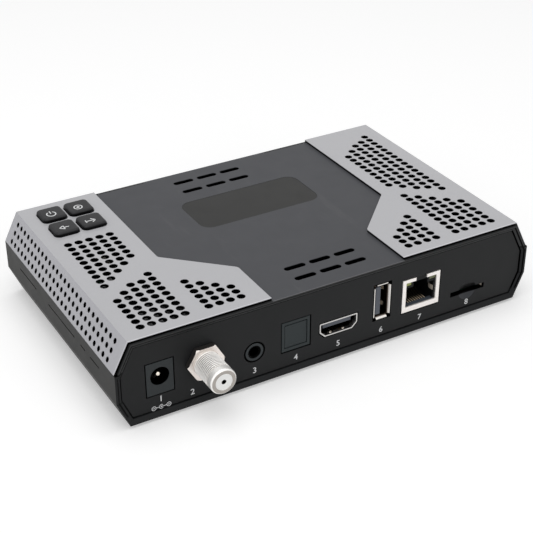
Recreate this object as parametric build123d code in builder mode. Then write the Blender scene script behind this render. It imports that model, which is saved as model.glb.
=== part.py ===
"""Satellite television receiver: a flat octagonal case with rear connectors, four top keys and its electronics.

Millimetres, +Z up. The origin is the centre of the case's flat underside, the front faces -Y and the
connectors face +Y. Every piece is a separate solid, written to parts/ under its own name.
"""

import os
from math import atan, copysign, cos, degrees, hypot, radians, sin

from build123d import *

os.makedirs("parts", exist_ok=True)

# --- Case ---
body_width = 166.0  # across the upright side walls
shoulder_run = 5.5  # how far the top face's edge lies inside the side wall
skirt_run = 4.3  # how far the underside's edge lies inside the side wall
body_depth = 100.0
body_height = 32.0  # underside to the top of the silver plates
shoulder_height = 21.2  # where the upper slope meets the side wall, and where the two shells part
skirt_height = 10.0  # where the lower slope meets the side wall
side_wall = 2.0
lid_wall = 1.7
plate_thickness = 0.9
corner_rounding = 2.0  # plan corners of the silver plates
rim_bevel_width = 1.3
rim_bevel_depth = 0.7
tongue_thickness = 0.8
tongue_height = 1.0
side_groove_height = 16.6
side_groove_width = 0.5
side_groove_depth = 0.5
side_groove_spans = ((-35.5, -18.9), (-7.4, 16.3), (21.6, 25.5), (29.7, 37.0))

# --- Clearances ---
seam_gap = 0.15  # tongue in its channel
panel_gap = 0.45  # visible line round the end panels
port_gap = 0.25  # connectors behind the rear panel, and the antenna in its hole
port_reveal = 0.4  # connectors in the rear panel's holes
key_gap = 0.3  # keys in the lid
slide_gap = 0.2  # guided moving pieces
pin_gap = 0.08  # small pins in their holes
seat_gap = 0.05  # pieces pushed into a housing
screw_gap = 0.2  # screw shanks in clearance holes
board_post_gap = 0.5  # boards round the case's posts

# --- End panels ---
panel_recess = 1.1
panel_face_thickness = 1.2
panel_flange_thickness = 1.2
panel_flange_reach = 1.0  # flange's hold in the shell groove

# --- Silver plates, seen from above ---
left_wing_reach = (31.0, 52.0)  # top face's side edge to the inner edge, front part and rear part
right_wing_reach = (30.0, 50.0)
wing_step_margin = 24.0  # rear face to the rear end of the inner edge's slant
wing_step_length = 20.0
plate_rear_inset = 0.9  # the plates end in front of the case's rear edge

# --- Vent holes ---
vent_diameter = 3.0
vent_pitch_across = 4.0
vent_pitch_along = 3.55
vent_side_margin = 7.2  # top face's side edge to the outermost column
vent_field_spacing = 24.6  # outermost column to the first one of the inner rear field
vent_rear_margin = 6.9  # rear face to the first row
vent_front_margin = 32.8  # front face to the first row of the left front field
vent_field_margin = 36.7  # front face to the middle of the right front field
left_front_rows = (10, 9, 8, 7, 6)
left_rear_rows = (6, 7, 8, 8, 9)
right_front_rows = (16, 14, 13, 11, 9)
right_rear_rows = (6, 7, 8, 9, 10)
inner_rear_rows = (6, 5, 4, 3)
slope_vent_diameter = 1.95
slope_vent_pitch = 3.5
slope_vent_count = 26
slope_vent_rows = 3
slope_vent_first = 3.2  # from the top edge, down the slope
slope_row_pitch = 3.4
slope_vent_centre = -1.3
backing_margin = 0.2  # how much wider the shell's slots are than the holes above them

# --- Lid slots and window ---
lid_slot_length = 8.4
lid_slot_width = 2.4
lid_slot_pitch = 10.1
lid_slot_front_rows = ((2.1, 7.5), (2.1, 15.3))  # middle across, and distance from the front face
lid_slot_rear_rows = ((-2.3, 15.7), (-2.3, 8.55))  # middle across, and distance from the rear face
window_width = 49.7
window_length = 22.0
window_centre = (-2.35, -15.5)
window_rounding = 4.5
window_thickness = 0.6
window_recess = 0.05

# --- Keys ---
key_width = 9.3
key_length = 9.2
key_rounding = 2.0
key_edge = 0.7
key_rise = 1.6
key_travel = 0.5
key_flange_thickness = 1.0
key_flange_width = 9.9
key_flange_length = 10.9
key_stem_diameter = 4.0
key_side_margin = 15.5  # top face's side edge to the middle of the four keys
key_front_margin = 15.7  # front face to the middle of the four keys
key_pitch_across = 10.6
key_pitch_along = 11.9
switch_size = 6.0
switch_height = 3.5
switch_rounding = 0.5
plunger_diameter = 3.4
plunger_rise = 0.9
plunger_depth = 2.0
button_board_width = 22.0
button_board_length = 24.0
button_board_top = 21.6
button_post_spacing = 17.2
button_post_radius = 2.2

# --- Boards ---
board_thickness = 1.6
board_top = 8.4
board_side_gap = 9.0  # board to the case's side
board_front_margin = 22.0
board_rear_margin = 4.0
board_screw_side_margin = 17.0
board_screw_front_inset = 6.0  # from the board's front edge
board_screw_rear_inset = 36.0  # from the board's rear edge
standoff_radius = 3.2
board_screw_diameter = 2.6
board_screw_head = 4.6
board_screw_head_height = 1.8
board_screw_length = 5.0
front_board_width = 76.0
front_board_height = 23.0
front_board_setback = 8.0  # front face to the middle of the board
rail_width = 3.0
rail_depth = 1.6

# --- Case screws and feet ---
rear_post_side_margin = 13.0
rear_post_margin = 30.0  # from the rear face
front_post_spacing = 14.8  # from the middle of the keys
front_post_margin = 12.0  # from the front face
case_screw_diameter = 3.0
case_screw_head = 5.6
case_screw_head_height = 2.2
case_screw_length = 20.0
case_post_radius = 3.5
case_post_split = 20.0  # where the lower post meets the upper one
counterbore_diameter = 6.4
counterbore_depth = 3.4
foot_diameter = 11.0
foot_rise = 1.2
foot_recess = 0.8
foot_edge = 0.4
foot_side_margin = 21.0
foot_end_margin = 12.0

# --- Power jack ---
power_side_margin = 16.0  # side wall to the jack's axis
power_width = 9.7
power_height = 12.5
power_axis_height = 15.3
power_front_depth = 4.4
power_body_width = 9.0
power_body_depth = 10.0
power_bore_diameter = 6.8
power_bore_depth = 10.0
power_pin_diameter = 2.0
power_pin_setback = 0.9
power_pin_seat_diameter = 2.8  # thicker root of the pin, held in the back of the housing
power_back_wall = 1.6
power_top_wall = 1.0
power_spring_width = 2.0
power_spring_sheet = 0.3
power_spring_opening = 0.8  # how far the spring's channel opens into the bore
power_lug_thickness = 0.6

# --- Antenna connector ---
antenna_spacing = 16.1  # from the power jack's axis
antenna_height = 15.7
antenna_reach = 12.8  # tip beyond the case's rear edge
antenna_thread_diameter = 9.4
antenna_root_diameter = 8.5
antenna_thread_pitch = 0.8
antenna_thread_turns = 11
antenna_collar = 2.6
antenna_collar_rounding = 0.8
antenna_bore = 6.2
antenna_neck_diameter = 8.0
antenna_neck_reach = 0.6  # beyond the tuner can's wall
antenna_nut_flats = 12.0
antenna_nut_thickness = 2.0
antenna_nut_chamfer = 0.5
antenna_contact_diameter = 2.2
antenna_contact_bore = 1.2
antenna_contact_bore_depth = 6.0
antenna_entry_diameter = 1.8
antenna_entry_depth = 0.4
antenna_insulator_setback = 0.1
antenna_socket_depth = 1.6
tuner_width = 20.4
tuner_depth = 27.0
tuner_height = 13.2
tuner_sheet = 0.5
tuner_cover_skirt = 3.0

# --- Audio-video jack ---
av_x = 32.0
av_height = 12.5
av_width = 9.0
av_body_height = 8.2
av_body_depth = 13.0
av_ring_diameter = 7.3
av_bore_diameter = 3.6
av_sleeve_seat = 3.0  # sleeve's length inside the housing
av_plug_room = 0.4  # round the plug, behind the sleeve
av_channel_width = 5.0
av_mouth_chamfer = 0.4
av_spring_width = 2.0
av_spring_thickness = 0.3

# --- Optical jack ---
optical_x = 15.8
optical_width = 11.1
optical_height = 11.7
optical_depth = 14.5
optical_setback = 0.15
optical_opening_width = 9.0
optical_opening_height = 9.4
optical_sill = 1.2  # lower frame bar
optical_frame = 0.8  # front frame thickness
optical_cavity_depth = 11.0
shutter_thickness = 0.8
shutter_pad_setback = 0.15
shutter_pin_diameter = 0.9
shutter_overlap = 0.3  # flap behind the frame
emitter_diameter = 2.4
emitter_reach = 1.0
emitter_block = 5.0
emitter_block_thickness = 2.5

# --- Shared by the metal ports ---
leg_width = 1.0
leg_spacing = 6.0
tongue_base = 1.5
contact_setback = 0.5
contact_sheet = 0.15

# --- Video port ---
video_x = -1.4
video_width = 15.4
video_bottom_width = 11.2
video_top = 15.0
video_side_height = 3.6
video_height = 5.7
video_depth = 12.0
video_sheet = 0.45
video_corner = 0.4
video_tongue_width = 11.4
video_tongue_thickness = 1.7
video_tongue_setback = 1.2
video_tongue_drop = 0.7
video_contact_count = 9
video_contact_pitch = 1.1
video_contact_width = 0.5

# --- Data port, standing on its side ---
data_x = -19.4
data_bottom = 9.9
data_width = 5.7
data_height = 13.1
data_depth = 13.5
data_sheet = 0.35
data_flare = 0.6
data_flare_depth = 1.0
data_tongue_thickness = 1.9
data_tongue_setback = 1.0
data_tongue_gap = 0.4
data_tongue_end_gap = 0.6
data_contact_count = 4
data_contact_pitch = 2.3
data_contact_width = 1.0
data_window_length = 4.0
data_window_width = 2.0
data_window_spacing = 6.6
data_window_setback = 2.0

# --- Network jack ---
network_x = -36.15
network_width = 16.1
network_height = 13.4
network_depth = 21.0
network_sheet = 0.3
network_frame_side = 1.5
network_frame_bottom = 2.0
network_frame_top = 1.3
network_frame_thickness = 0.6
network_notch_width = 4.7
network_cavity_width = 11.8
network_cavity_height = 7.6
network_cavity_depth = 14.0
network_step_width = 6.2
network_step_height = 1.9
network_light_width = 2.6
network_light_height = 1.7
network_light_setback = 0.2
network_contact_count = 8
network_contact_pitch = 1.02
network_wire = 0.35
network_wire_start = 5.0
network_wire_rise = 3.5

# --- Card socket ---
card_x = -57.3
card_width = 14.9
card_depth = 14.6
card_height = 1.9
card_sheet = 0.2
card_floor = 0.4
card_slot_width = 15.3
card_slot_height = 2.05
card_slot_bottom = 8.35
card_rail = 0.6
card_scoop_half_width = 4.0
card_scoop_depth = 1.0
card_slider_width = 1.5
card_slider_length = 4.0
card_slider_arm = 6.0
card_slider_travel = 1.2
card_spring_room = 1.6  # left in front of the slider when it is pressed

# --- Parts on the main board ---
processor_size = 17.0
processor_height = 1.6
processor_place = (0.0, 44.0)  # across, and distance from the rear face
heatsink_size = 30.0
heatsink_base = 2.0
heatsink_height = 9.0
fin_count = 9
fin_thickness = 1.1
memory_width = 9.0
memory_length = 13.0
memory_height = 1.1
memory_places = ((-24.0, 36.0), (-24.0, 53.0), (24.0, 53.0))  # across, and distance from the rear face
capacitor_diameter = 8.0
capacitor_height = 12.0
capacitor_edge = 0.6
capacitor_pitch = 10.5
capacitor_side_margin = 28.25  # side wall to the middle of the four
capacitor_rear_margin = 49.25  # rear face to the middle of the four
inductor_size = 7.0
inductor_height = 3.6
inductor_places = ((38.0, 42.0), (38.0, 53.0), (-44.0, 42.0))  # across, and distance from the rear face
inductor_rounding = 1.5
socket_height = 3.0
socket_length = 4.0  # along its cable
front_socket_width = 14.0
front_socket_place = (0.0, 5.0)  # across, and distance from the main board's front edge
key_socket_width = 6.0
key_socket_place = (22.3, 3.1)  # in from the middle of the keys, and from the main board's front edge

# --- Front ---
lens_width = 64.0
lens_height = 15.0
lens_centre_height = 16.0
lens_rounding = 2.0
lens_lip = 1.5
display_width = 34.0
display_height = 12.0
display_x = 0.0
receiver_x = 25.0
receiver_width = 5.0
receiver_height = 6.5

# --- Derived places ---
rear_y = body_depth / 2
front_y = -rear_y
side_x = body_width / 2
top_width = body_width - 2 * shoulder_run
base_width = body_width - 2 * skirt_run
top_edge_x = top_width / 2
wing_step_rear = rear_y - wing_step_margin
wing_step_front = wing_step_rear - wing_step_length
vent_outer_column = top_edge_x - vent_side_margin
vent_inner_column = vent_outer_column - vent_field_spacing
vent_front_row = front_y + vent_front_margin
vent_field_centre = front_y + vent_field_margin
key_centre = (top_edge_x - key_side_margin, front_y + key_front_margin)
board_half_width = side_x - board_side_gap
board_front = front_y + board_front_margin
board_rear = rear_y - board_rear_margin
front_board_y = front_y + front_board_setback
power_x = side_x - power_side_margin
antenna_x = power_x - antenna_spacing
lid_top = body_height - plate_thickness
lid_inset = plate_thickness + lid_wall
lid_under = body_height - lid_inset
upper_lean = (body_width - top_width) / 2 / (body_height - shoulder_height)
lower_lean = (body_width - base_width) / 2 / skirt_height
slope_angle = degrees(atan(upper_lean))
panel_thickness = panel_face_thickness + panel_flange_thickness
panel_face_y = rear_y - panel_recess
panel_back_y = panel_face_y - panel_thickness
front_panel_face_y = front_y + panel_recess
front_panel_back_y = front_panel_face_y + panel_thickness
groove_slack = 0.05
board_under = board_top - board_thickness
port_back_y = panel_back_y - port_gap


def behind(depth_position):
    """Upright sketch plane at a depth position: X across, Z up, extrusions run towards the front."""
    return Plane.XZ.offset(-depth_position)


def level(height):
    """Flat sketch plane at a height, whose extrusions run upwards."""
    return Plane.XY.offset(height)


def upper_x(height, inset):
    """Half width of the upper slope at a height, for a face set in by `inset` square to the slope."""
    return body_width / 2 - (height - shoulder_height) * upper_lean - inset * hypot(1, upper_lean)


def lower_x(height, inset):
    """Half width of the lower slope at a height, for a face set in by `inset` square to the slope."""
    return body_width / 2 - (skirt_height - height) * lower_lean - inset * hypot(1, lower_lean)


def section(side, lid):
    """Corners of the case's octagon, set in by `side` at walls and floor and by `lid` at the top and slopes."""
    wall_x = body_width / 2 - side
    top_z = body_height - lid
    upper_z = shoulder_height + (side - lid * hypot(1, upper_lean)) / upper_lean
    lower_z = skirt_height + side * (hypot(1, lower_lean) - 1) / lower_lean
    right = [(upper_x(top_z, lid), top_z), (wall_x, upper_z), (wall_x, lower_z), (lower_x(side, side), side)]
    left = [(-x, z) for x, z in reversed(right)]
    return right + left


def column_places(outer_column, counts, rows):
    """Hole centres of one vent field; rows(count) gives the depth positions of a column's holes."""
    places = []
    for column, count in enumerate(counts):
        across = outer_column - column * vent_pitch_across
        places.append([(across, along) for along in rows(count)])
    return places


def rows_from_rear(count):
    """Rows counted forwards from the rear margin."""
    return [rear_y - vent_rear_margin - row * vent_pitch_along for row in range(count)]


def rows_from_front(count):
    """Rows counted backwards from the first row of the left front field."""
    return [vent_front_row + row * vent_pitch_along for row in range(count)]


def rows_centred(count):
    """Rows spread evenly about the middle of the right front field."""
    return [vent_field_centre + (row - (count - 1) / 2) * vent_pitch_along for row in range(count)]


left_columns = (
    column_places(vent_outer_column, left_front_rows, rows_from_front)
    + column_places(vent_outer_column, left_rear_rows, rows_from_rear)
    + column_places(vent_inner_column, inner_rear_rows, rows_from_rear)
)
right_columns = [
    [(-across, along) for across, along in column]
    for column in column_places(vent_outer_column, right_front_rows, rows_centred)
    + column_places(vent_outer_column, right_rear_rows, rows_from_rear)
    + column_places(vent_inner_column, inner_rear_rows, rows_from_rear)
]


def slope_plane(side):
    """Plane on the outer face of an upper slope: X runs down the slope from the top edge, Z points out."""
    down = (side * sin(radians(slope_angle)), 0, -cos(radians(slope_angle)))
    out = (side * cos(radians(slope_angle)), 0, sin(radians(slope_angle)))
    return Plane(origin=(side * top_width / 2, 0, body_height), x_dir=down, z_dir=out)


slope_row_distances = [slope_vent_first + row * slope_row_pitch for row in range(slope_vent_rows)]
key_names = ("left", "right", "select", "power")
key_places = [
    (key_centre[0] + across * key_pitch_across / 2, key_centre[1] + along * key_pitch_along / 2)
    for across, along in ((1, 1), (-1, 1), (-1, -1), (1, -1))
]
foot_places = [
    (across * (side_x - foot_side_margin), along * (rear_y - foot_end_margin))
    for across in (-1, 1)
    for along in (-1, 1)
]
board_screw_places = [
    (side * (side_x - board_screw_side_margin), along)
    for along in (board_rear - board_screw_rear_inset, board_front + board_screw_front_inset)
    for side in (1, -1)
]
case_screw_places = [
    (side * across, along)
    for across, along in (
        (side_x - rear_post_side_margin, rear_y - rear_post_margin),
        (key_centre[0] - front_post_spacing, front_y + front_post_margin),
    )
    for side in (1, -1)
]
lid_slot_rows = [(across, front_y + inset) for across, inset in lid_slot_front_rows] + [
    (across, rear_y - inset) for across, inset in lid_slot_rear_rows
]
capacitor_places = [
    (
        side_x - capacitor_side_margin + across * capacitor_pitch / 2,
        rear_y - capacitor_rear_margin + along * capacitor_pitch / 2,
    )
    for across, along in ((1, 1), (1, -1), (-1, -1), (-1, 1))
]
processor_centre = (processor_place[0], rear_y - processor_place[1])
memory_centres = [(across, rear_y - inset) for across, inset in memory_places]
inductor_centres = [(across, rear_y - inset) for across, inset in inductor_places]
front_socket_centre = (front_socket_place[0], board_front + front_socket_place[1])
key_socket_centre = (key_centre[0] - key_socket_place[0], board_front + key_socket_place[1])
button_post_places = [(key_centre[0] + side * button_post_spacing / 2, key_centre[1]) for side in (-1, 1)]
rail_places = [side * front_board_width / 2 for side in (-1, 1)]

# --- Hollow of the case: the inside, the grooves for both end panels and the bevel of both rims ---
with BuildPart() as case_hollow:
    with BuildSketch(behind(rear_y + 1)):
        Polygon(*section(side_wall, lid_inset), align=None)
    extrude(amount=body_depth + 2)
    for groove_rear_y in (panel_face_y - panel_face_thickness, front_panel_back_y):
        with BuildSketch(behind(groove_rear_y + groove_slack)):
            Polygon(*section(side_wall - panel_flange_reach, lid_inset - panel_flange_reach), align=None)
        extrude(amount=panel_flange_thickness + 2 * groove_slack)
    for rim_y, inner_y in ((rear_y, rear_y - rim_bevel_depth), (front_y, front_y + rim_bevel_depth)):
        with BuildSketch(behind(rim_y)):
            Polygon(*section(side_wall - rim_bevel_width, lid_inset - rim_bevel_width), align=None)
        with BuildSketch(behind(inner_y)):
            Polygon(*section(side_wall, lid_inset), align=None)
        loft(ruled=True)

# --- Lower shell ---
tongue_x = (upper_x(shoulder_height, lid_inset) + body_width / 2) / 2
tongue_length = 2 * (panel_back_y - panel_flange_thickness)
with BuildPart() as bottom_case:
    with BuildSketch(behind(rear_y)):
        Polygon(*section(0, 0), align=None)
        with Locations((0, shoulder_height)):
            Rectangle(body_width, body_height, align=(Align.CENTER, Align.MIN), mode=Mode.SUBTRACT)
    extrude(amount=body_depth)
    add(case_hollow.part, mode=Mode.SUBTRACT)
    # Channel for the lid's tongue
    with BuildSketch(level(shoulder_height)):
        with Locations((-tongue_x, 0), (tongue_x, 0)):
            Rectangle(tongue_thickness + 2 * seam_gap, tongue_length + 2 * seam_gap)
    extrude(amount=-(tongue_height + seam_gap), mode=Mode.SUBTRACT)
    # Broken groove along each side wall
    for groove_front, groove_rear in side_groove_spans:
        with BuildSketch(level(side_groove_height - side_groove_width / 2)):
            with Locations(
                (-body_width / 2, (groove_front + groove_rear) / 2), (body_width / 2, (groove_front + groove_rear) / 2)
            ):
                Rectangle(2 * side_groove_depth, groove_rear - groove_front)
        extrude(amount=side_groove_width, mode=Mode.SUBTRACT)
    # Standoffs, screw posts and the front board's rails rise from the floor
    with BuildSketch(level(side_wall)):
        with Locations(*board_screw_places):
            Circle(standoff_radius)
    extrude(amount=board_under - side_wall)
    with BuildSketch(level(side_wall)):
        with Locations(*case_screw_places):
            Circle(case_post_radius)
    extrude(amount=case_post_split - side_wall)
    with BuildSketch(level(side_wall)):
        with Locations(*button_post_places):
            Circle(button_post_radius)
    extrude(amount=button_board_top - board_thickness - side_wall)
    with BuildSketch(level(side_wall)):
        with Locations(*[(x, front_board_y) for x in rail_places]):
            Rectangle(rail_width, board_thickness + 2 * rail_depth)
    extrude(amount=front_board_height * 0.6)
    with BuildSketch(level(side_wall)):
        with Locations((0, front_board_y)):
            Rectangle(front_board_width + 2 * seam_gap, board_thickness + 2 * seam_gap)
    extrude(amount=front_board_height, mode=Mode.SUBTRACT)
    # Screw holes
    with Locations(*[Location((x, y, board_under)) for x, y in board_screw_places]):
        Hole((board_screw_diameter + seat_gap) / 2, depth=board_under - side_wall)
    button_board_under = button_board_top - board_thickness
    with Locations(*[Location((x, y, button_board_under)) for x, y in button_post_places]):
        Hole((board_screw_diameter + seat_gap) / 2, depth=board_screw_length)
    with Locations(*[Location((x, y, 0), (180, 0, 0)) for x, y in case_screw_places]):
        CounterBoreHole(
            case_screw_diameter / 2 + screw_gap, counterbore_diameter / 2, counterbore_depth, depth=case_post_split
        )
    # Shallow pockets for the feet
    with BuildSketch(level(0)):
        with Locations(*foot_places):
            Circle(foot_diameter / 2 + screw_gap)
    extrude(amount=foot_recess, mode=Mode.SUBTRACT)
bottom_case.part.label = "bottom_case"
export_step(bottom_case.part, "parts/bottom_case.step")

# --- Lid ---
post_top = lid_under + lid_wall / 2
with BuildPart() as top_case:
    with BuildSketch(behind(rear_y)):
        Polygon(*section(0, plate_thickness), align=None)
        with Locations((0, shoulder_height)):
            Rectangle(body_width, body_height, align=(Align.CENTER, Align.MAX), mode=Mode.SUBTRACT)
    extrude(amount=body_depth)
    add(case_hollow.part, mode=Mode.SUBTRACT)
    with BuildSketch(level(shoulder_height - tongue_height)):
        with Locations((-tongue_x, 0), (tongue_x, 0)):
            Rectangle(tongue_thickness, tongue_length)
    extrude(amount=tongue_height)
    with BuildSketch(level(case_post_split)):
        with Locations(*case_screw_places):
            Circle(case_post_radius)
    extrude(amount=post_top - case_post_split)
    with Locations(*[Location((x, y, case_post_split), (180, 0, 0)) for x, y in case_screw_places]):
        Hole((case_screw_diameter + seat_gap) / 2, depth=case_screw_length - case_post_split + counterbore_depth + 1)
    # One slot under each column of round vents, so that air passes between narrow ribs
    with BuildSketch(level(lid_top)):
        for column in left_columns + right_columns:
            across, first_row = column[0]
            last_row = column[-1][1]
            with Locations((across, (first_row + last_row) / 2)):
                SlotCenterToCenter(abs(last_row - first_row), vent_diameter + backing_margin, rotation=90)
    extrude(amount=-2 * lid_wall, mode=Mode.SUBTRACT)
    # Three long slots under the slope vents on each side
    for side in (-1, 1):
        with BuildSketch(slope_plane(side)):
            with Locations(*[(distance, side * slope_vent_centre) for distance in slope_row_distances]):
                SlotCenterToCenter(
                    (slope_vent_count - 1) * slope_vent_pitch, slope_vent_diameter + backing_margin, rotation=90
                )
        extrude(amount=-lid_inset - seam_gap, mode=Mode.SUBTRACT)
    # Slots in the dark centre
    with BuildSketch(level(lid_top)):
        for across, along in lid_slot_rows:
            with Locations(*[(across + step * lid_slot_pitch, along) for step in (-1, 0, 1)]):
                SlotOverall(lid_slot_length, lid_slot_width)
    extrude(amount=-lid_wall, mode=Mode.SUBTRACT)
    # Pocket of the label window
    with BuildSketch(level(lid_top)):
        with Locations(window_centre):
            RectangleRounded(
                window_width + 2 * seat_gap, window_length + 2 * seat_gap, window_rounding + seat_gap
            )
    extrude(amount=-(window_thickness + window_recess), mode=Mode.SUBTRACT)
    # Key openings
    with BuildSketch(level(lid_top)):
        with Locations(*key_places):
            RectangleRounded(key_width + 2 * key_gap, key_length + 2 * key_gap, key_rounding + key_gap)
    extrude(amount=-lid_wall, mode=Mode.SUBTRACT)
top_case.part.label = "top_case"
export_step(top_case.part, "parts/top_case.step")


# --- Silver plates: one wraps each top wing and upper slope ---
def plate_outline(side, reach):
    """Plan corners of one silver plate, from its front inner corner backwards."""
    outer = body_width
    front_edge, rear_edge = (top_edge_x - part_reach for part_reach in reach)
    plate_rear_y = rear_y - plate_rear_inset
    corners = [
        (front_edge, front_y),
        (front_edge, wing_step_front),
        (rear_edge, wing_step_rear),
        (rear_edge, plate_rear_y),
        (outer, plate_rear_y),
        (outer, front_y),
    ]
    return [(side * x, y) for x, y in corners]


plates = (
    ("left_side_plate", 1, left_wing_reach, left_columns),
    ("right_side_plate", -1, right_wing_reach, right_columns),
)
for plate_name, side, reach, columns in plates:
    with BuildPart() as side_plate:
        with BuildSketch(behind(rear_y)):
            Polygon(*section(0, 0), align=None)
            Polygon(*section(0, plate_thickness), align=None, mode=Mode.SUBTRACT)
            with Locations((0, shoulder_height)):
                Rectangle(body_width, body_height, align=(Align.CENTER, Align.MAX), mode=Mode.SUBTRACT)
        extrude(amount=body_depth)
        with BuildSketch(level(0)) as plan:
            Polygon(*plate_outline(side, reach), align=None)
            inner_corners = plan.vertices().filter_by_position(Axis.Y, wing_step_front - 1, wing_step_rear + 1)
            fillet(inner_corners, corner_rounding)
        extrude(amount=2 * body_height, mode=Mode.INTERSECT)
        with BuildSketch(level(body_height)):
            with Locations(*[place for column in columns for place in column]):
                Circle(vent_diameter / 2)
            if side > 0:
                with Locations(*key_places):
                    RectangleRounded(key_width + 2 * key_gap, key_length + 2 * key_gap, key_rounding + key_gap)
        extrude(amount=-2 * plate_thickness, mode=Mode.SUBTRACT)
        with BuildSketch(slope_plane(side)):
            for distance in slope_row_distances:
                with Locations((distance, side * slope_vent_centre)):
                    with GridLocations(1, slope_vent_pitch, 1, slope_vent_count):
                        Circle(slope_vent_diameter / 2)
        extrude(amount=-2 * plate_thickness, mode=Mode.SUBTRACT)
    side_plate.part.label = plate_name
    export_step(side_plate.part, f"parts/{plate_name}.step")

# --- Label window: a plain inlay ---
with BuildPart() as label_window:
    with BuildSketch(level(lid_top - window_recess - window_thickness)):
        with Locations(window_centre):
            RectangleRounded(window_width, window_length, window_rounding)
    extrude(amount=window_thickness)
label_window.part.label = "label_window"
export_step(label_window.part, "parts/label_window.step")

# --- Rear panel, with a hole for each connector ---
card_slot_centre = card_slot_bottom + card_slot_height / 2
with BuildPart() as rear_panel:
    with BuildSketch(behind(panel_face_y)):
        Polygon(*section(side_wall + panel_gap, lid_inset + panel_gap), align=None)
    extrude(amount=panel_face_thickness)
    with BuildSketch(behind(panel_face_y - panel_face_thickness)):
        flange_side = side_wall - panel_flange_reach + seam_gap
        flange_lid = lid_inset - panel_flange_reach + seam_gap
        Polygon(*section(flange_side, flange_lid), align=None)
    extrude(amount=panel_flange_thickness)
    with BuildSketch(behind(panel_face_y)):
        with Locations((power_x, board_top + power_height / 2)):
            Rectangle(power_width + 2 * port_reveal, power_height + 2 * port_reveal)
        with Locations((antenna_x, antenna_height)):
            Circle(antenna_thread_diameter / 2 + port_gap)
        with Locations((av_x, av_height)):
            Circle(av_ring_diameter / 2 + port_reveal)
        with Locations((optical_x, board_top + optical_height / 2)):
            Rectangle(optical_width + 2 * port_reveal, optical_height + 2 * port_reveal)
        with Locations((network_x, board_top + network_height / 2)):
            Rectangle(network_width + 2 * port_reveal, network_height + 2 * port_reveal)
        with Locations((data_x, data_bottom + data_height / 2)):
            Rectangle(
                data_width + 2 * (data_flare + port_reveal),
                data_height + 2 * (data_flare + port_reveal),
            )
        with Locations((card_x, card_slot_centre)):
            Rectangle(card_slot_width, card_slot_height)
        with Locations((video_x, video_top)):
            Polygon(
                (-video_width / 2 - port_reveal, port_reveal),
                (video_width / 2 + port_reveal, port_reveal),
                (video_width / 2 + port_reveal, -video_side_height - port_reveal / 2),
                (video_bottom_width / 2 + port_reveal / 2, -video_height - port_reveal),
                (-video_bottom_width / 2 - port_reveal / 2, -video_height - port_reveal),
                (-video_width / 2 - port_reveal, -video_side_height - port_reveal / 2),
                align=None,
            )
    extrude(amount=panel_thickness, mode=Mode.SUBTRACT)
    # Dished thumb scoop at the card slot
    scoop_radius = (card_scoop_half_width**2 + card_scoop_depth**2) / (2 * card_scoop_depth)
    with Locations((card_x, panel_face_y + scoop_radius - card_scoop_depth, card_slot_centre)):
        Sphere(scoop_radius, mode=Mode.SUBTRACT)
rear_panel.part.label = "rear_panel"
export_step(rear_panel.part, "parts/rear_panel.step")

# --- Front panel and the dark lens over the display ---
with BuildPart() as front_panel:
    with BuildSketch(behind(front_panel_back_y)):
        Polygon(*section(flange_side, flange_lid), align=None)
    extrude(amount=panel_flange_thickness)
    with BuildSketch(behind(front_panel_face_y + panel_face_thickness)):
        Polygon(*section(side_wall + panel_gap, lid_inset + panel_gap), align=None)
    extrude(amount=panel_face_thickness)
    with BuildSketch(behind(front_panel_back_y)):
        with Locations((0, lens_centre_height)):
            RectangleRounded(lens_width - 2 * lens_lip, lens_height - 2 * lens_lip, lens_rounding)
    extrude(amount=panel_thickness, mode=Mode.SUBTRACT)
    with BuildSketch(behind(front_panel_face_y + panel_face_thickness)):
        with Locations((0, lens_centre_height)):
            RectangleRounded(lens_width + 2 * seat_gap, lens_height + 2 * seat_gap, lens_rounding + seat_gap)
    extrude(amount=panel_face_thickness, mode=Mode.SUBTRACT)
front_panel.part.label = "front_panel"
export_step(front_panel.part, "parts/front_panel.step")

with BuildPart() as display_lens:
    with BuildSketch(behind(front_panel_face_y + panel_face_thickness)):
        with Locations((0, lens_centre_height)):
            RectangleRounded(lens_width, lens_height, lens_rounding)
    extrude(amount=panel_face_thickness)
display_lens.part.label = "display_lens"
export_step(display_lens.part, "parts/display_lens.step")

# --- Front board: it stands on the floor between two rails ---
front_board_face_y = front_board_y - board_thickness / 2
front_board_back_y = front_board_y + board_thickness / 2
with BuildPart() as front_board:
    with BuildSketch(behind(front_board_back_y)):
        with Locations((0, side_wall)):
            Rectangle(front_board_width, front_board_height, align=(Align.CENTER, Align.MIN))
    extrude(amount=board_thickness)
front_board.part.label = "front_board"
export_step(front_board.part, "parts/front_board.step")

front_part_depth = front_board_face_y - front_panel_back_y - slide_gap
with BuildPart() as display_module:
    with BuildSketch(behind(front_board_face_y)):
        with Locations((display_x, lens_centre_height)):
            Rectangle(display_width, display_height)
    extrude(amount=front_part_depth)
display_module.part.label = "display_module"
export_step(display_module.part, "parts/display_module.step")

with BuildPart() as remote_receiver:
    with BuildSketch(behind(front_board_face_y)):
        with Locations((receiver_x, lens_centre_height)):
            Rectangle(receiver_width, receiver_height)
    extrude(amount=front_part_depth / 2)
    with BuildSketch(behind(front_board_face_y - front_part_depth / 2)):
        with Locations((receiver_x, lens_centre_height)):
            Circle(receiver_width / 2)
    extrude(amount=front_part_depth / 2)
    fillet(remote_receiver.edges().sort_by(Axis.Y)[0], front_part_depth / 4)
remote_receiver.part.label = "remote_receiver"
export_step(remote_receiver.part, "parts/remote_receiver.step")

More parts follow.
